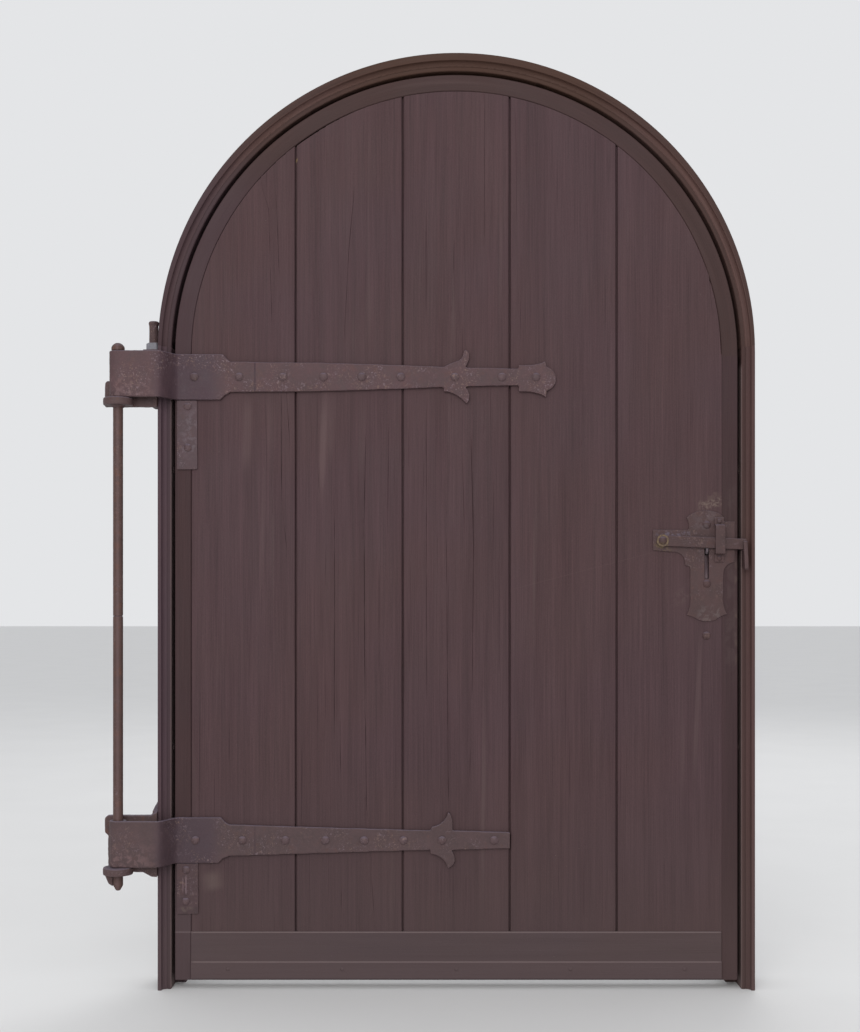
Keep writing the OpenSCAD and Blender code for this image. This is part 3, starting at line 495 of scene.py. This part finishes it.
area("key", (-0.8, -5.4, 2.8), (0, 0, 0.85), 3.6, 168, (1.0, 0.99, 0.97))
area("back", (1.2, 4.2, 4.6), (0, 0, 1.0), 3.0, 70)

# ---------- materials ----------
PALE = (108, 90, 90)
planks_mat = painted_wood("leaf_paint", (81, 65, 67), marks=[
    ((-0.452, 1.130), (-0.447, 1.262), 0.014, 0.03, 0.26, PALE, 0),
    ((-0.290, 1.080), (-0.283, 1.262), 0.010, 0.06, 0.42, PALE, 0),
    ((-0.272, 1.150), (-0.268, 1.262), 0.012, 0.04, 0.14, PALE, 0),
    ((-0.400, 1.150), (-0.400, 1.262), 0.012, 0.04, 0.12, PALE, 0),
    ((-0.205, 1.120), (-0.200, 1.250), 0.010, 0.05, 0.14, PALE, 0),
    ((0.513, 0.492), (0.524, 0.728), 0.007, 0.08, 0.25, PALE, 0),
    ((-0.536, 0.230), (-0.512, 0.235), 0.027, 0.022, 0.5, (112, 97, 93), 0),
    ((0.522, 1.038), (0.575, 1.050), 0.013, 0.006, 0.6, (120, 105, 98), 170.0),
    ((0.520, 1.028), (0.575, 1.070), 0.030, 0.02, 0.24, (110, 95, 88), 60.0),
    ((0.115, 0.858), (0.420, 0.938), 0.0012, 0.06, 0.12, PALE, 0),
    ((-0.3435, 1.780), (-0.3435, 1.786), 0.003, 0.002, 0.8, (140, 120, 84), 0),
    ((0.470, 0.830), (0.500, 0.860), 0.020, 0.02, 0.2, (104, 90, 86), 60.0)])
stile_mat = painted_wood("stile_paint", (72, 58, 59), "arch", 2.0, 0.8, 0.6, [
    ((0.602, 0.700), (0.602, 0.930), 0.005, 0.06, 0.4, (100, 87, 80), 30.0),
    ((0.590, 0.690), (0.594, 1.080), 0.018, 0.06, 0.2, (94, 81, 80), 40.0),
    ((-0.588, -0.10), (-0.588, 0.26), 0.06, 0.08, 0.9, (84, 71, 73), 0),
    ((0.588, -0.10), (0.588, 0.16), 0.06, 0.12, 0.7, (82, 68, 68), 0),
    ((-0.604, RAIL_LINE), (-0.56, RAIL_LINE), 0.0018, 0.004, 0.6, (118, 104, 106), 0)])
# the purple on the rim's left is painted sky light
rim_mat = painted_wood("rim_paint", (74, 60, 59), "arch", 4.0, 0.7, 0.6, [
    ((-0.62, 1.20), (-0.50, 1.76), 0.30, 0.1, 0.7, (78, 64, 68), 0)])
rail_mat = painted_wood("rail_paint", (86, 74, 76), "lie", 6.0, 0.12, 1.0, [
    ((-0.60, 0.03), (0.60, 0.03), 0.05, 0.01, 0.6, (92, 79, 80), 0),
    ((-0.57, RAIL_LINE), (0.57, RAIL_LINE), 0.0018, 0.01, 0.7, (122, 108, 108), 0),
    ((-0.57, DRIP_LINE), (0.57, DRIP_LINE), 0.0018, 0.01, 0.7, (122, 108, 108), 0)])
ledge_mat = painted_wood("ledge_paint", (80, 66, 68), "lie", 8.0, 0.9)
# painted light: the shaded rebate slit beside the leaf is lifted pale on both posts
SLIT_LIGHT = [((s * 0.609, 0.0), (s * 0.609, 1.34), 0.007, 0.01, 0.8, (140, 122, 120), 0)
        for s in (-1, 1)]
# the posts share the painted light in the slit and the lifted cove (the last value)
POST = (0.5, 1.0, SLIT_LIGHT, POST_COVE, 1.28)   # what the two posts' paints share
# one paint on both posts: the left post's purple tint is painted sky light, the right post's brown painted
# ground-bounce light
post_l_mat = painted_wood("post_paint_left", (76, 63, 67), "arch", 10.0, *POST)
post_r_mat = painted_wood("post_paint_right", (77, 61, 59), "arch", 12.0, *POST)
# the brown band across the crown is painted ground-bounce light in shade, the purple on the left painted sky light
head_mat = painted_wood("head_paint", (75, 60, 57), "arch", 14.0, 1.2, 1.0, [
    ((-0.22, 1.98), (0.34, 1.98), 0.24, 0.12, 0.8, (80, 62, 55), 0),
    ((-0.68, 1.20), (-0.48, 1.78), 0.30, 0.12, 0.7, (77, 64, 69), 0)], COVE)
STRAP_Z = (1.315, 0.321)   # middle heights of the straps


def on_straps(x0, x1, below, above, half, soft, k, rgb, ragged=0):
    """The same mark on both straps, from x0 at z + below to x1 at z + above."""
    return [((x0, z + below), (x1, z + above), half, soft, k, rgb, ragged) for z in STRAP_Z]


SEAM = [((-0.4320, z - 0.04), (-0.4322, z + 0.04), 0.0024, 0.004, k, (60, 48, 56), 0)
        for z, k in zip(STRAP_Z, (0.65, 0.3))]
# painted shadow: the straps are darkened where they bend over the frame
BEND_SHADOW = on_straps(-0.612, -0.612, -0.06, 0.06, 0.036, 0.004, 0.4, (68, 56, 66))
ROOT = on_straps(-0.556, -0.556, -0.06, 0.06, 0.066, 0.004, 0.7, (76, 64, 71))
NEAR = on_straps(-0.74, -0.65, -0.042, -0.042, 0.05, 0.03, 0.5, (122, 99, 100), 110.0)
STRAP = BEND_SHADOW + ROOT + NEAR + SEAM
strap_mat = painted_iron("strap_iron", (90, 73, 75), 0.0, 1.15, 0.12, 1.0, STRAP)
lower_mat = painted_iron("lower_strap_iron", (88, 74, 75), 3.0, 0.9, 0.12, 1.0, STRAP)
low_plate_mat = painted_iron("low_plate_iron", (84, 70, 72), 6.0, 0.9, 0.1, 1.0, [
    ((-0.5805, 0.206), (-0.5805, 0.243), 0.0016, 0.004, 0.8, (140, 120, 126), 0),
    ((-0.5870, 0.210), (-0.5870, 0.240), 0.0016, 0.004, 0.5, (132, 112, 118), 0),
    ((-0.592, 0.172), (-0.566, 0.172), 0.008, 0.006, 0.35, (110, 98, 90), 90.0)])
plate_mat = painted_iron("stile_plate_iron", (88, 74, 77), 4.0, 1.2, 0.1, 1.0, [
    ((-0.580, 1.150), (-0.560, 1.240), 0.030, 0.02, 0.4, (112, 101, 107), 110.0)])
# the pale stripe down the rods' front is a painted highlight
rod_mat = painted_iron("rod_iron", (91, 74, 71), 5.0, 0.6, 0.5, 0.5, [
    ((HINGE_X + 0.001, 0.2), (HINGE_X + 0.001, 1.5), 0.004, 0.02, 0.3, (114, 94, 96), 0)])
bracket_mat = painted_iron("bracket_iron", (90, 75, 75), 7.0, 0.8, 0.4)
bolt_mat = painted_iron("bolt_iron", (94, 79, 81), 9.0, 1.3, 0.1)
# the strip in the slot stands in for the light seen down it
slot_light_mat = painted_iron("slot_light_paint", (84, 73, 78), 10.0, 0.2, 0.0)
latch_mat = painted_iron("latch_iron", (84, 69, 69), 11.0, 0.6, 0.1, 0.8, [
    ((0.426, 0.9465), (0.458, 0.9480), 0.017, 0.010, 0.75, (106, 91, 72), 40.0),
    ((0.432, 0.980), (0.502, 0.978), 0.008, 0.01, 0.6, (110, 102, 116), 130.0),
    ((0.520, 0.800), (0.570, 0.805), 0.030, 0.01, 0.4, (110, 99, 98), 90.0),
    ((0.515, 1.005), (0.560, 1.010), 0.030, 0.02, 0.3, (106, 97, 101), 90.0)])
inside_mat = painted_iron("inside_iron", (84, 72, 72), 13.0, 0.7, 0.3)
nut_mat = painted_iron("grey_nut", (140, 142, 150), 15.0, 0.4, 0.15)
lift_mat = painted_iron("worn_steel", (94, 86, 90), 17.0, 0.5, 0.1)


def cream():
    """The crusty ring under the pivot bolt."""
    w = Mat("cream_ring")
    f = w.noise(w.p, 240.0, 3, 0.6)
    col = w.mix(w.ramp(f, 0.35, 0.65), iron((94, 80, 72)), iron((122, 105, 86)))
    return w.finish(col, w.ramp(f, 0.3, 0.7, 0.6, 0.8), w.bump(f, 0.0005, 0.6), specular=0.3)


def oak():
    """Bare oak of the dowels."""
    w = Mat("bare_oak")
    f = w.noise(w.scaled(w.p, (90, 90, 6)), 1, 4, 0.6)
    g = w.noise(w.p, 120.0, 2, 0.5)
    col = w.mix(w.ramp(f, 0.3, 0.7), lin((120, 92, 62)), lin((160, 128, 90)))
    return w.finish(col, w.ramp(g, 0.3, 0.7, 0.6, 0.8), w.bump(f, 0.0006, 0.6), specular=0.3)


# ---------- planks ----------
def crack_lines():
    """For each plank: (path [(z, x)...], parts [(low z, high z, width, depth)...]), in metres."""
    return {
        1: [([(1.44, -0.3965), (1.68, -0.4035), (1.75, -0.420)],
             [(1.40, 1.75, 0.0011, 0.003)]),
            ([(0.93, -0.363), (1.05, -0.376), (1.44, -0.377), (1.72, -0.388)],
             [(1.44, 1.72, 0.0011, 0.003), (1.05, 1.30, 0.0016, 0.004),
              (0.925, 1.035, 0.0015, 0.004)]),
            ([(1.17, -0.358), (1.30, -0.366)], [(1.16, 1.31, 0.0013, 0.003)])],
        2: [([(0.45, -0.280), (1.10, -0.296), (1.13, -0.295)],
             [(1.06, 1.13, 0.0016, 0.004), (0.36, 0.56, 0.001, 0.003)]),
            ([(0.88, -0.281), (0.96, -0.280)], [(0.86, 0.96, 0.0012, 0.003)]),
            ([(0.50, -0.262), (1.04, -0.262)], [(0.55, 1.04, 0.0017, 0.004)]),
            ([(0.36, -0.247), (0.60, -0.250), (1.00, -0.252)],
             [(0.95, 1.01, 0.0015, 0.003), (0.36, 0.62, 0.0014, 0.003),
              (0.13, 0.29, 0.0013, 0.003)]),
            ([(1.43, -0.240), (1.59, -0.231), (1.72, -0.218)], [(1.36, 1.73, 0.0011, 0.003)]),
            ([(0.16, -0.176), (0.40, -0.193), (0.75, -0.197), (0.97, -0.198), (1.18, -0.195)],
             [(0.36, 0.60, 0.0016, 0.004), (0.62, 0.98, 0.0018, 0.004), (1.00, 1.19, 0.0015, 0.004),
              (0.14, 0.25, 0.0011, 0.003)]),
            ([(0.67, -0.166), (0.92, -0.166)], [(0.66, 0.93, 0.0014, 0.003)]),
            ([(1.00, -0.148), (1.16, -0.146)], [(0.98, 1.16, 0.0012, 0.003)])],
        3: [([(0.90, -0.064), (1.27, -0.065)],
             [(0.62, 1.27, 0.0015, 0.004), (1.44, 1.68, 0.001, 0.003)]),
            ([(0.36, -0.016), (0.50, -0.018), (0.98, -0.021), (1.63, -0.0035), (1.93, -0.024)],
             [(0.375, 0.985, 0.0018, 0.004), (1.45, 1.64, 0.0014, 0.003),
              (1.80, 1.93, 0.0012, 0.003)]),
            ([(0.14, 0.021), (0.27, 0.021), (0.62, 0.027), (1.16, 0.012)],
             [(0.14, 0.27, 0.0018, 0.004), (0.96, 1.16, 0.0013, 0.003),
              (0.48, 0.62, 0.0012, 0.003)]),
            ([(0.45, 0.028), (0.66, 0.034), (0.96, 0.038), (1.20, 0.032)],
             [(0.60, 1.20, 0.0018, 0.004), (0.40, 0.54, 0.0015, 0.003)]),
            ([(0.95, 0.060), (1.92, 0.061)],
             [(1.20, 1.27, 0.001, 0.003), (1.60, 1.93, 0.0012, 0.003)]),
            ([(0.93, 0.080), (1.09, 0.080)], [(0.92, 1.09, 0.001, 0.003)])],
        4: [([(1.20, 0.270), (1.27, 0.271)], [(1.17, 1.28, 0.0009, 0.0025)]),
            ([(0.15, 0.171), (0.20, 0.171)], [(0.15, 0.20, 0.0009, 0.0025)])],
        5: [([(1.45, 0.553), (1.55, 0.540)], [(1.43, 1.56, 0.0009, 0.0025)])],
    }


def plank(i, lines):
    """One board: a row of columns across its front, swept up from the rail to the arch.

    Each entry of full is (x, crack or None, place across the crack, set back of the edge).
    Below, verts holds one ring a row: the front columns, then tongue, back and groove."""
    node = f"plank_{i}"
    lo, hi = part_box(node)
    lo.x -= FILL if i == 1 else 0
    hi.x += FILL if i == 5 else 0
    hi.z += FILL
    xa = lo.x
    xb = hi.x - (JOINT + TONGUE if i < 5 else 0)
    back = hi.y
    mid, half = back / 2, 0.004   # the tongue's middle and half its thickness
    mids = []
    for path, _ in lines:
        zs, xs = [p[0] for p in path], [p[1] for p in path]
        mids.append(float(np.interp(np.mean(zs), zs, xs)))
    order = np.argsort(mids)
    lines = [lines[k] for k in order]
    mids = [mids[k] for k in order]
    grid = list(np.linspace(xa + 0.003, xb - 0.003, int((xb - xa) / COLUMN)))
    grid = [g for g in grid if all(abs(g - m) > CLEAR for m in mids)]
    if i in (1, 5):
        # finer columns where the arch cuts the outer boards steeply
        edge_x, turn = (xa, 1) if i == 1 else (xb, -1)
        grid = [g for g in grid if abs(g - edge_x) > 0.021]
        grid += [edge_x + turn * o for o in np.arange(0.0036, 0.0205, 0.0018)]
    cols = [(g, None, 0) for g in grid]
    for k, m in enumerate(mids):
        for o in (-1.0, -0.35, 0.35, 1.0):
            cols.append((m + o * CRACK_HALF, k, o))
    cols.sort(key=lambda c: c[0])
    edge = [(0.0, 0.0030), (0.0004, 0.0014), (0.0012, 0.0005), (0.0022, 0.00008)]
    near_stile = [(0.0, 0.0016), (0.0005, 0.0005), (0.0012, 0.0001)]
    paint_lip = [(0.0006, 0.0), (-PAINT_LIP, 0.0002), (-0.0002, 0.0016)]
    full = [(xa + a, None, 0, b) for a, b in (near_stile if i == 1 else edge)]
    full += [(x, k, o, 0.0) for x, k, o in cols]
    full += [(xb - a, None, 0, b) for a, b in (paint_lip if i == 5 else reversed(edge))]
    base = np.array([c[0] for c in full])
    rows = int((hi.z - lo.z) / ROW)
    t = np.linspace(0, 1, rows)

    def top(x):
        gap = 0.0001 + 0.0002 * (vnoise(np.stack([x * 30, x * 0, x * 0], 1), 5) + 1)
        if i == 2:
            gap = gap + 0.0022 * np.clip((-0.215 - x) / 0.10, 0, 1)
        return SPRING + np.sqrt(np.maximum((PLANK_R + FILL - gap) ** 2 - x ** 2, 0))

    def warp(z):
        """x of every front column at heights z (one height per column)."""
        if not lines:
            return base.copy()
        knots = np.array([xa] + mids + [xb])
        dev = [np.zeros_like(z)]
        for (path, _), m in zip(lines, mids):
            dev.append(np.interp(z, [p[0] for p in path], [p[1] for p in path]) - m)
        dev.append(np.zeros_like(z))
        k = np.clip(np.searchsorted(knots, base) - 1, 0, len(knots) - 2)
        f = np.clip((base - knots[k]) / (knots[k + 1] - knots[k]), 0, 1)
        dev = np.array(dev)
        idx = np.arange(len(base))
        return base + dev[k, idx] * (1 - f) + dev[k + 1, idx] * f

    # the front columns that the back has one opposite to
    front = len(full)
    keep = [0]
    arch = top(base)
    for c in range(1, front):
        far = math.hypot(base[c] - base[keep[-1]], arch[c] - arch[keep[-1]]) > 0.03
        if c == front - 1 or (far and xa + 0.012 < base[c] < xb - 0.004):
            keep.append(c)
    rest = []
    if i < 5:
        tip = xb + JOINT + TONGUE
        rest += [(xb, mid - half), (tip, mid - half), (tip, mid + half), (xb, mid + half)]
    back_at = front + len(rest)
    rest += [(min(base[c], xb), back) for c in reversed(keep)]
    groove_at = front + len(rest)
    if i > 1:
        g, h = TONGUE + 0.001, half + 0.0002
        rest += [(xa, mid + h), (xa + g, mid + h), (xa + g, mid - h), (xa, mid - h)]
    rx = np.array([r[0] for r in rest])
    ry = np.array([r[1] for r in rest])
    ztop_rest = top(rx)
    verts = []
    for tj in t:
        z = lo.z + tj * (top(base) - lo.z)
        x = np.clip(warp(z), xa, xb + (PAINT_LIP if i == 5 else 0))
        z = lo.z + tj * (top(x) - lo.z)
        y = np.array([c[3] for c in full])
        p = np.stack([x, z * 0, z], 1)
        ripple = 0.00006 * fbm(p / (0.0035, 1, 0.09), 40 + i)
        hollow = 0.00018 * (vnoise(p / (0.05, 1, 0.5), 60 + i) + 1)
        wear = 0.00012 + ripple + hollow
        right = (x > (xa + xb) / 2) * 9.0
        nick = 0.5 + 0.5 * fbm(np.stack([x * 0 + right, z * 0, z / 0.012], 1), 80 + i)
        y = y * (0.8 + 0.5 * nick) + wear
        for c, (_, k, o, _) in enumerate(full):
            if k is None:
                continue
            w, d = 0.0, 0.0
            for z0, z1, wid, dep in lines[k][1]:
                s = min(z[c] - z0, z1 - z[c])
                if s > 0:
                    e = min(s / 0.05, 1.0)
                    rag = 0.75 + 0.5 * (math.sin(z[c] * 61 + k * 3) * math.sin(z[c] * 23 + k))
                    w, d = 0.75 * wid * e * rag, (0.34 if i == 3 else 0.5) * dep * e
            x[c] += o * max(w, 0.0003) / 2 - o * CRACK_HALF
            if abs(o) < 1:
                y[c] += d
        verts += list(zip(x, y, z))
        zr = lo.z + tj * (ztop_rest - lo.z)
        verts += list(zip(rx, ry, zr))
    ring = front + len(rest)
    faces = []
    for j in range(rows - 1):
        for c in range(ring):
            a, b = j * ring + c, j * ring + (c + 1) % ring
            faces.append((a, b, b + ring, a + ring))
    faces.append(tuple(range(ring - 1, -1, -1)))
    up = (rows - 1) * ring
    last = len(keep) - 1
    for j in range(last):
        cap = list(range(keep[j], keep[j + 1] + 1)) + [back_at + last - j - 1, back_at + last - j]
        if j == 0 and i > 1:
            cap += range(groove_at, groove_at + 4)
        faces.append(tuple(up + c for c in cap))
    if i < 5:
        faces.append(tuple(up + c for c in [*range(front - 1, front + 4), back_at]))
    me = bpy.data.meshes.new(node + "_board")
    me.from_pydata([tuple(float(q) for q in v) for v in verts], [], faces)
    co = coords(me)
    hi.x += PAINT_LIP if i == 5 else 0
    put(me, np.clip(co, list(lo), list(hi)))
    ob = link(node + "_board", me)
    if i == 5:
        slot_cut(ob)
        me = ob.data
    me.materials.append(planks_mat)
    smooth_shade(me)
    me.set_sharp_from_angle(angle=math.radians(38))
    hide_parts(node)
    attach(ob, "leaf")


def slot_cut(ob):
    """Cuts the slot for the lift through the last plank."""
    wide, deep, tall, mid_z = 0.010, 0.06, 0.086, 0.925
    bm = bmesh.new()
    bmesh.ops.create_cube(bm, size=1.0)
    for v in bm.verts:
        v.co.x = SLOT_X + v.co.x * wide
        v.co.y = PLANK_T / 2 + v.co.y * deep
        v.co.z = mid_z + v.co.z * tall
    cm = bpy.data.meshes.new("slot_tool")
    bm.to_mesh(cm)
    bm.free()
    tool = link("slot_tool", cm)
    m = ob.modifiers.new("slot", "BOOLEAN")
    m.operation = "DIFFERENCE"
    m.solver = "EXACT"
    m.object = tool
    applied(ob)
    bpy.data.objects.remove(tool)


def slot_light_strip():
    """A steel strip down the slot that stands in for the pale light seen there; it leans out towards its foot to
    catch the light from above.
    """
    path = [(0.0125, 0.934), (0.0095, 0.922), (0.0058, 0.908),
            (0.0026, 0.896), (0.0008, 0.888), (0.0012, 0.8828)]
    bm = bmesh.new()
    rings = []
    for k, (y, z) in enumerate(path):
        w = 0.0047 + 0.0001 * math.sin(k * 2.3)
        section = ((-w, 0.0022), (-w * 0.38, 0.0002), (w * 0.3, 0),
                   (w, 0.0022), (w, 0.0034), (-w, 0.0034))
        rings.append([bm.verts.new((SLOT_X + dx, y + dy, z)) for dx, dy in section])
    for p, q in zip(rings, rings[1:]):
        for k in range(6):
            bm.faces.new((p[k], q[k], q[(k + 1) % 6], p[(k + 1) % 6]))
    bm.faces.new(rings[0])
    bm.faces.new(reversed(rings[-1]))
    bmesh.ops.recalc_face_normals(bm, faces=bm.faces)
    me = bpy.data.meshes.new("slot_light_strip")
    bm.to_mesh(me)
    bm.free()
    smooth_shade(me)
    me.set_sharp_from_angle(angle=math.radians(30))
    me.materials.append(slot_light_mat)
    ob = link("slot_light_strip", me)
    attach(ob, "leaf")


def board(node, mat, bevel, fit=0.0):
    """A flat piece with its bores: the CAD shape with whole faces, for a clean worn arris.

    fit draws the ends of the boards between the stiles up to them, as painted over."""
    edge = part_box("drip_board")[1].x
    bm = bmesh.new()
    bm.from_mesh(N[node].data)
    bmesh.ops.remove_doubles(bm, verts=bm.verts, dist=1e-5)
    bmesh.ops.dissolve_degenerate(bm, dist=2e-5, edges=bm.edges)
    bmesh.ops.dissolve_limit(bm, angle_limit=math.radians(1), verts=bm.verts, edges=bm.edges)
    for v in bm.verts:
        if fit and abs(abs(v.co.x) - edge) < 0.0002:
            v.co.x += math.copysign(fit, v.co.x)
    me = bpy.data.meshes.new(node + "_board")
    bm.to_mesh(me)
    bm.free()
    smooth_shade(me, False)
    me.materials.clear()
    me.materials.append(mat)
    ob = link(node + "_board", me)
    worn_arris(ob, bevel, False)
    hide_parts(node)
    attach(ob, BODY[node])


for i, lines in crack_lines().items():
    plank(i, lines)

# ---------- the rest of the joinery, which keeps its CAD shape ----------
for node in ("bottom_rail", "drip_board"):
    board(node, rail_mat, 0.0002, END_FILL)
for node in ("ledge_upper", "ledge_middle", "ledge_lower"):
    board(node, ledge_mat, 0.0012)
dressed(["stile_left", "stile_right"], stile_mat, 0.0006)
dressed(["rim_left", "rim_middle", "rim_right"], rim_mat, 0.0006)
dressed(["drip_nails"], rail_mat, 0.0002)
dressed(["frame_post_left"], post_l_mat, 0.0006)
dressed(["frame_post_right"], post_r_mat, 0.0006)
dressed(["frame_head_left", "frame_head_middle", "frame_head_right"], head_mat, 0.0006)
dressed(["frame_dowels", "rim_dowels"], oak(), 0.0003)
dressed(["stud_nuts"], nut_mat, 0.0005)
dressed(["pivot_nut", "strap_roves", "ledge_screws", "lever_pin"], inside_mat, 0.0003)
dressed(["pivot_washer"], cream(), 0.0003)

# ---------- ironwork ----------
# node, material, voxel, fine unevenness, broad unevenness, smoothings, seed, size of the dents
IRONWORK = (
    ("strap_upper", strap_mat, 0.0019, 0.00016, 0.0003, 1, 3, 0.03),
    ("strap_lower", lower_mat, 0.0019, 0.00016, 0.0003, 1, 4, 0.03),
    ("strap_bolts_upper", bolt_mat, 0.0011, 0.0003, 0.0004, 2, 5, 0.012),
    ("strap_bolts_lower", bolt_mat, 0.0011, 0.0003, 0.0004, 2, 6, 0.012),
    ("upper_hinge_rod", rod_mat, 0.0016, 0.0001, 0.0, 2, 7, 0.022),
    ("lower_hinge_rod", rod_mat, 0.0016, 0.0001, 0.0, 2, 8, 0.022),
    ("upper_bracket", bracket_mat, 0.0021, 0.0002, 0.0005, 1, 9, 0.022),
    ("lower_bracket", bracket_mat, 0.0021, 0.0002, 0.0005, 1, 10, 0.022),
    ("bracket_bolts", bolt_mat, 0.0013, 0.0002, 0.0003, 2, 11, 0.012),
    ("bracket_stud", bracket_mat, 0.0013, 0.0002, 0.0004, 2, 12, 0.014),
    ("stile_plate_upper", plate_mat, 0.0012, 0.00012, 0.0003, 1, 13, 0.022),
    ("stile_plate_lower", low_plate_mat, 0.0008, 0.00012, 0.0003, 1, 14, 0.022),
    ("stile_plate_nails", bolt_mat, 0.0010, 0.0003, 0.0004, 2, 15, 0.012),
    ("latch_plate", latch_mat, 0.0010, 0.00006, 0.0001, 1, 16, 0.022),
    ("latch_rivets", latch_mat, 0.0009, 0.0002, 0.0003, 2, 17, 0.012),
    ("keeper", latch_mat, 0.0009, 0.00006, 0.0001, 1, 18, 0.022),
    ("keeper_rivets", latch_mat, 0.0008, 0.00015, 0.0002, 2, 19, 0.01),
    ("latch_bar", latch_mat, 0.0012, 0.00006, 0.0001, 1, 20, 0.022),
    ("pivot_bolt", latch_mat, 0.0009, 0.0001, 0.0001, 2, 21, 0.012),
    ("latch_catch", latch_mat, 0.0010, 0.0001, 0.0002, 2, 22, 0.022),
    ("inside_plate", inside_mat, 0.0014, 0.00006, 0.0001, 1, 23, 0.022),
    ("lift_lever", lift_mat, 0.0008, 0.00004, 0.0001, 1, 24, 0.022),
    ("grasp_handle", inside_mat, 0.0013, 0.0001, 0.0003, 2, 25, 0.022),
    ("handle_bolts", latch_mat, 0.0010, 0.0002, 0.0003, 2, 26, 0.012),
)
slot_light_strip()
for node, mat, *how in IRONWORK:
    forged(node, mat, *how, bore=node.startswith("strap_") and "bolts" not in node)
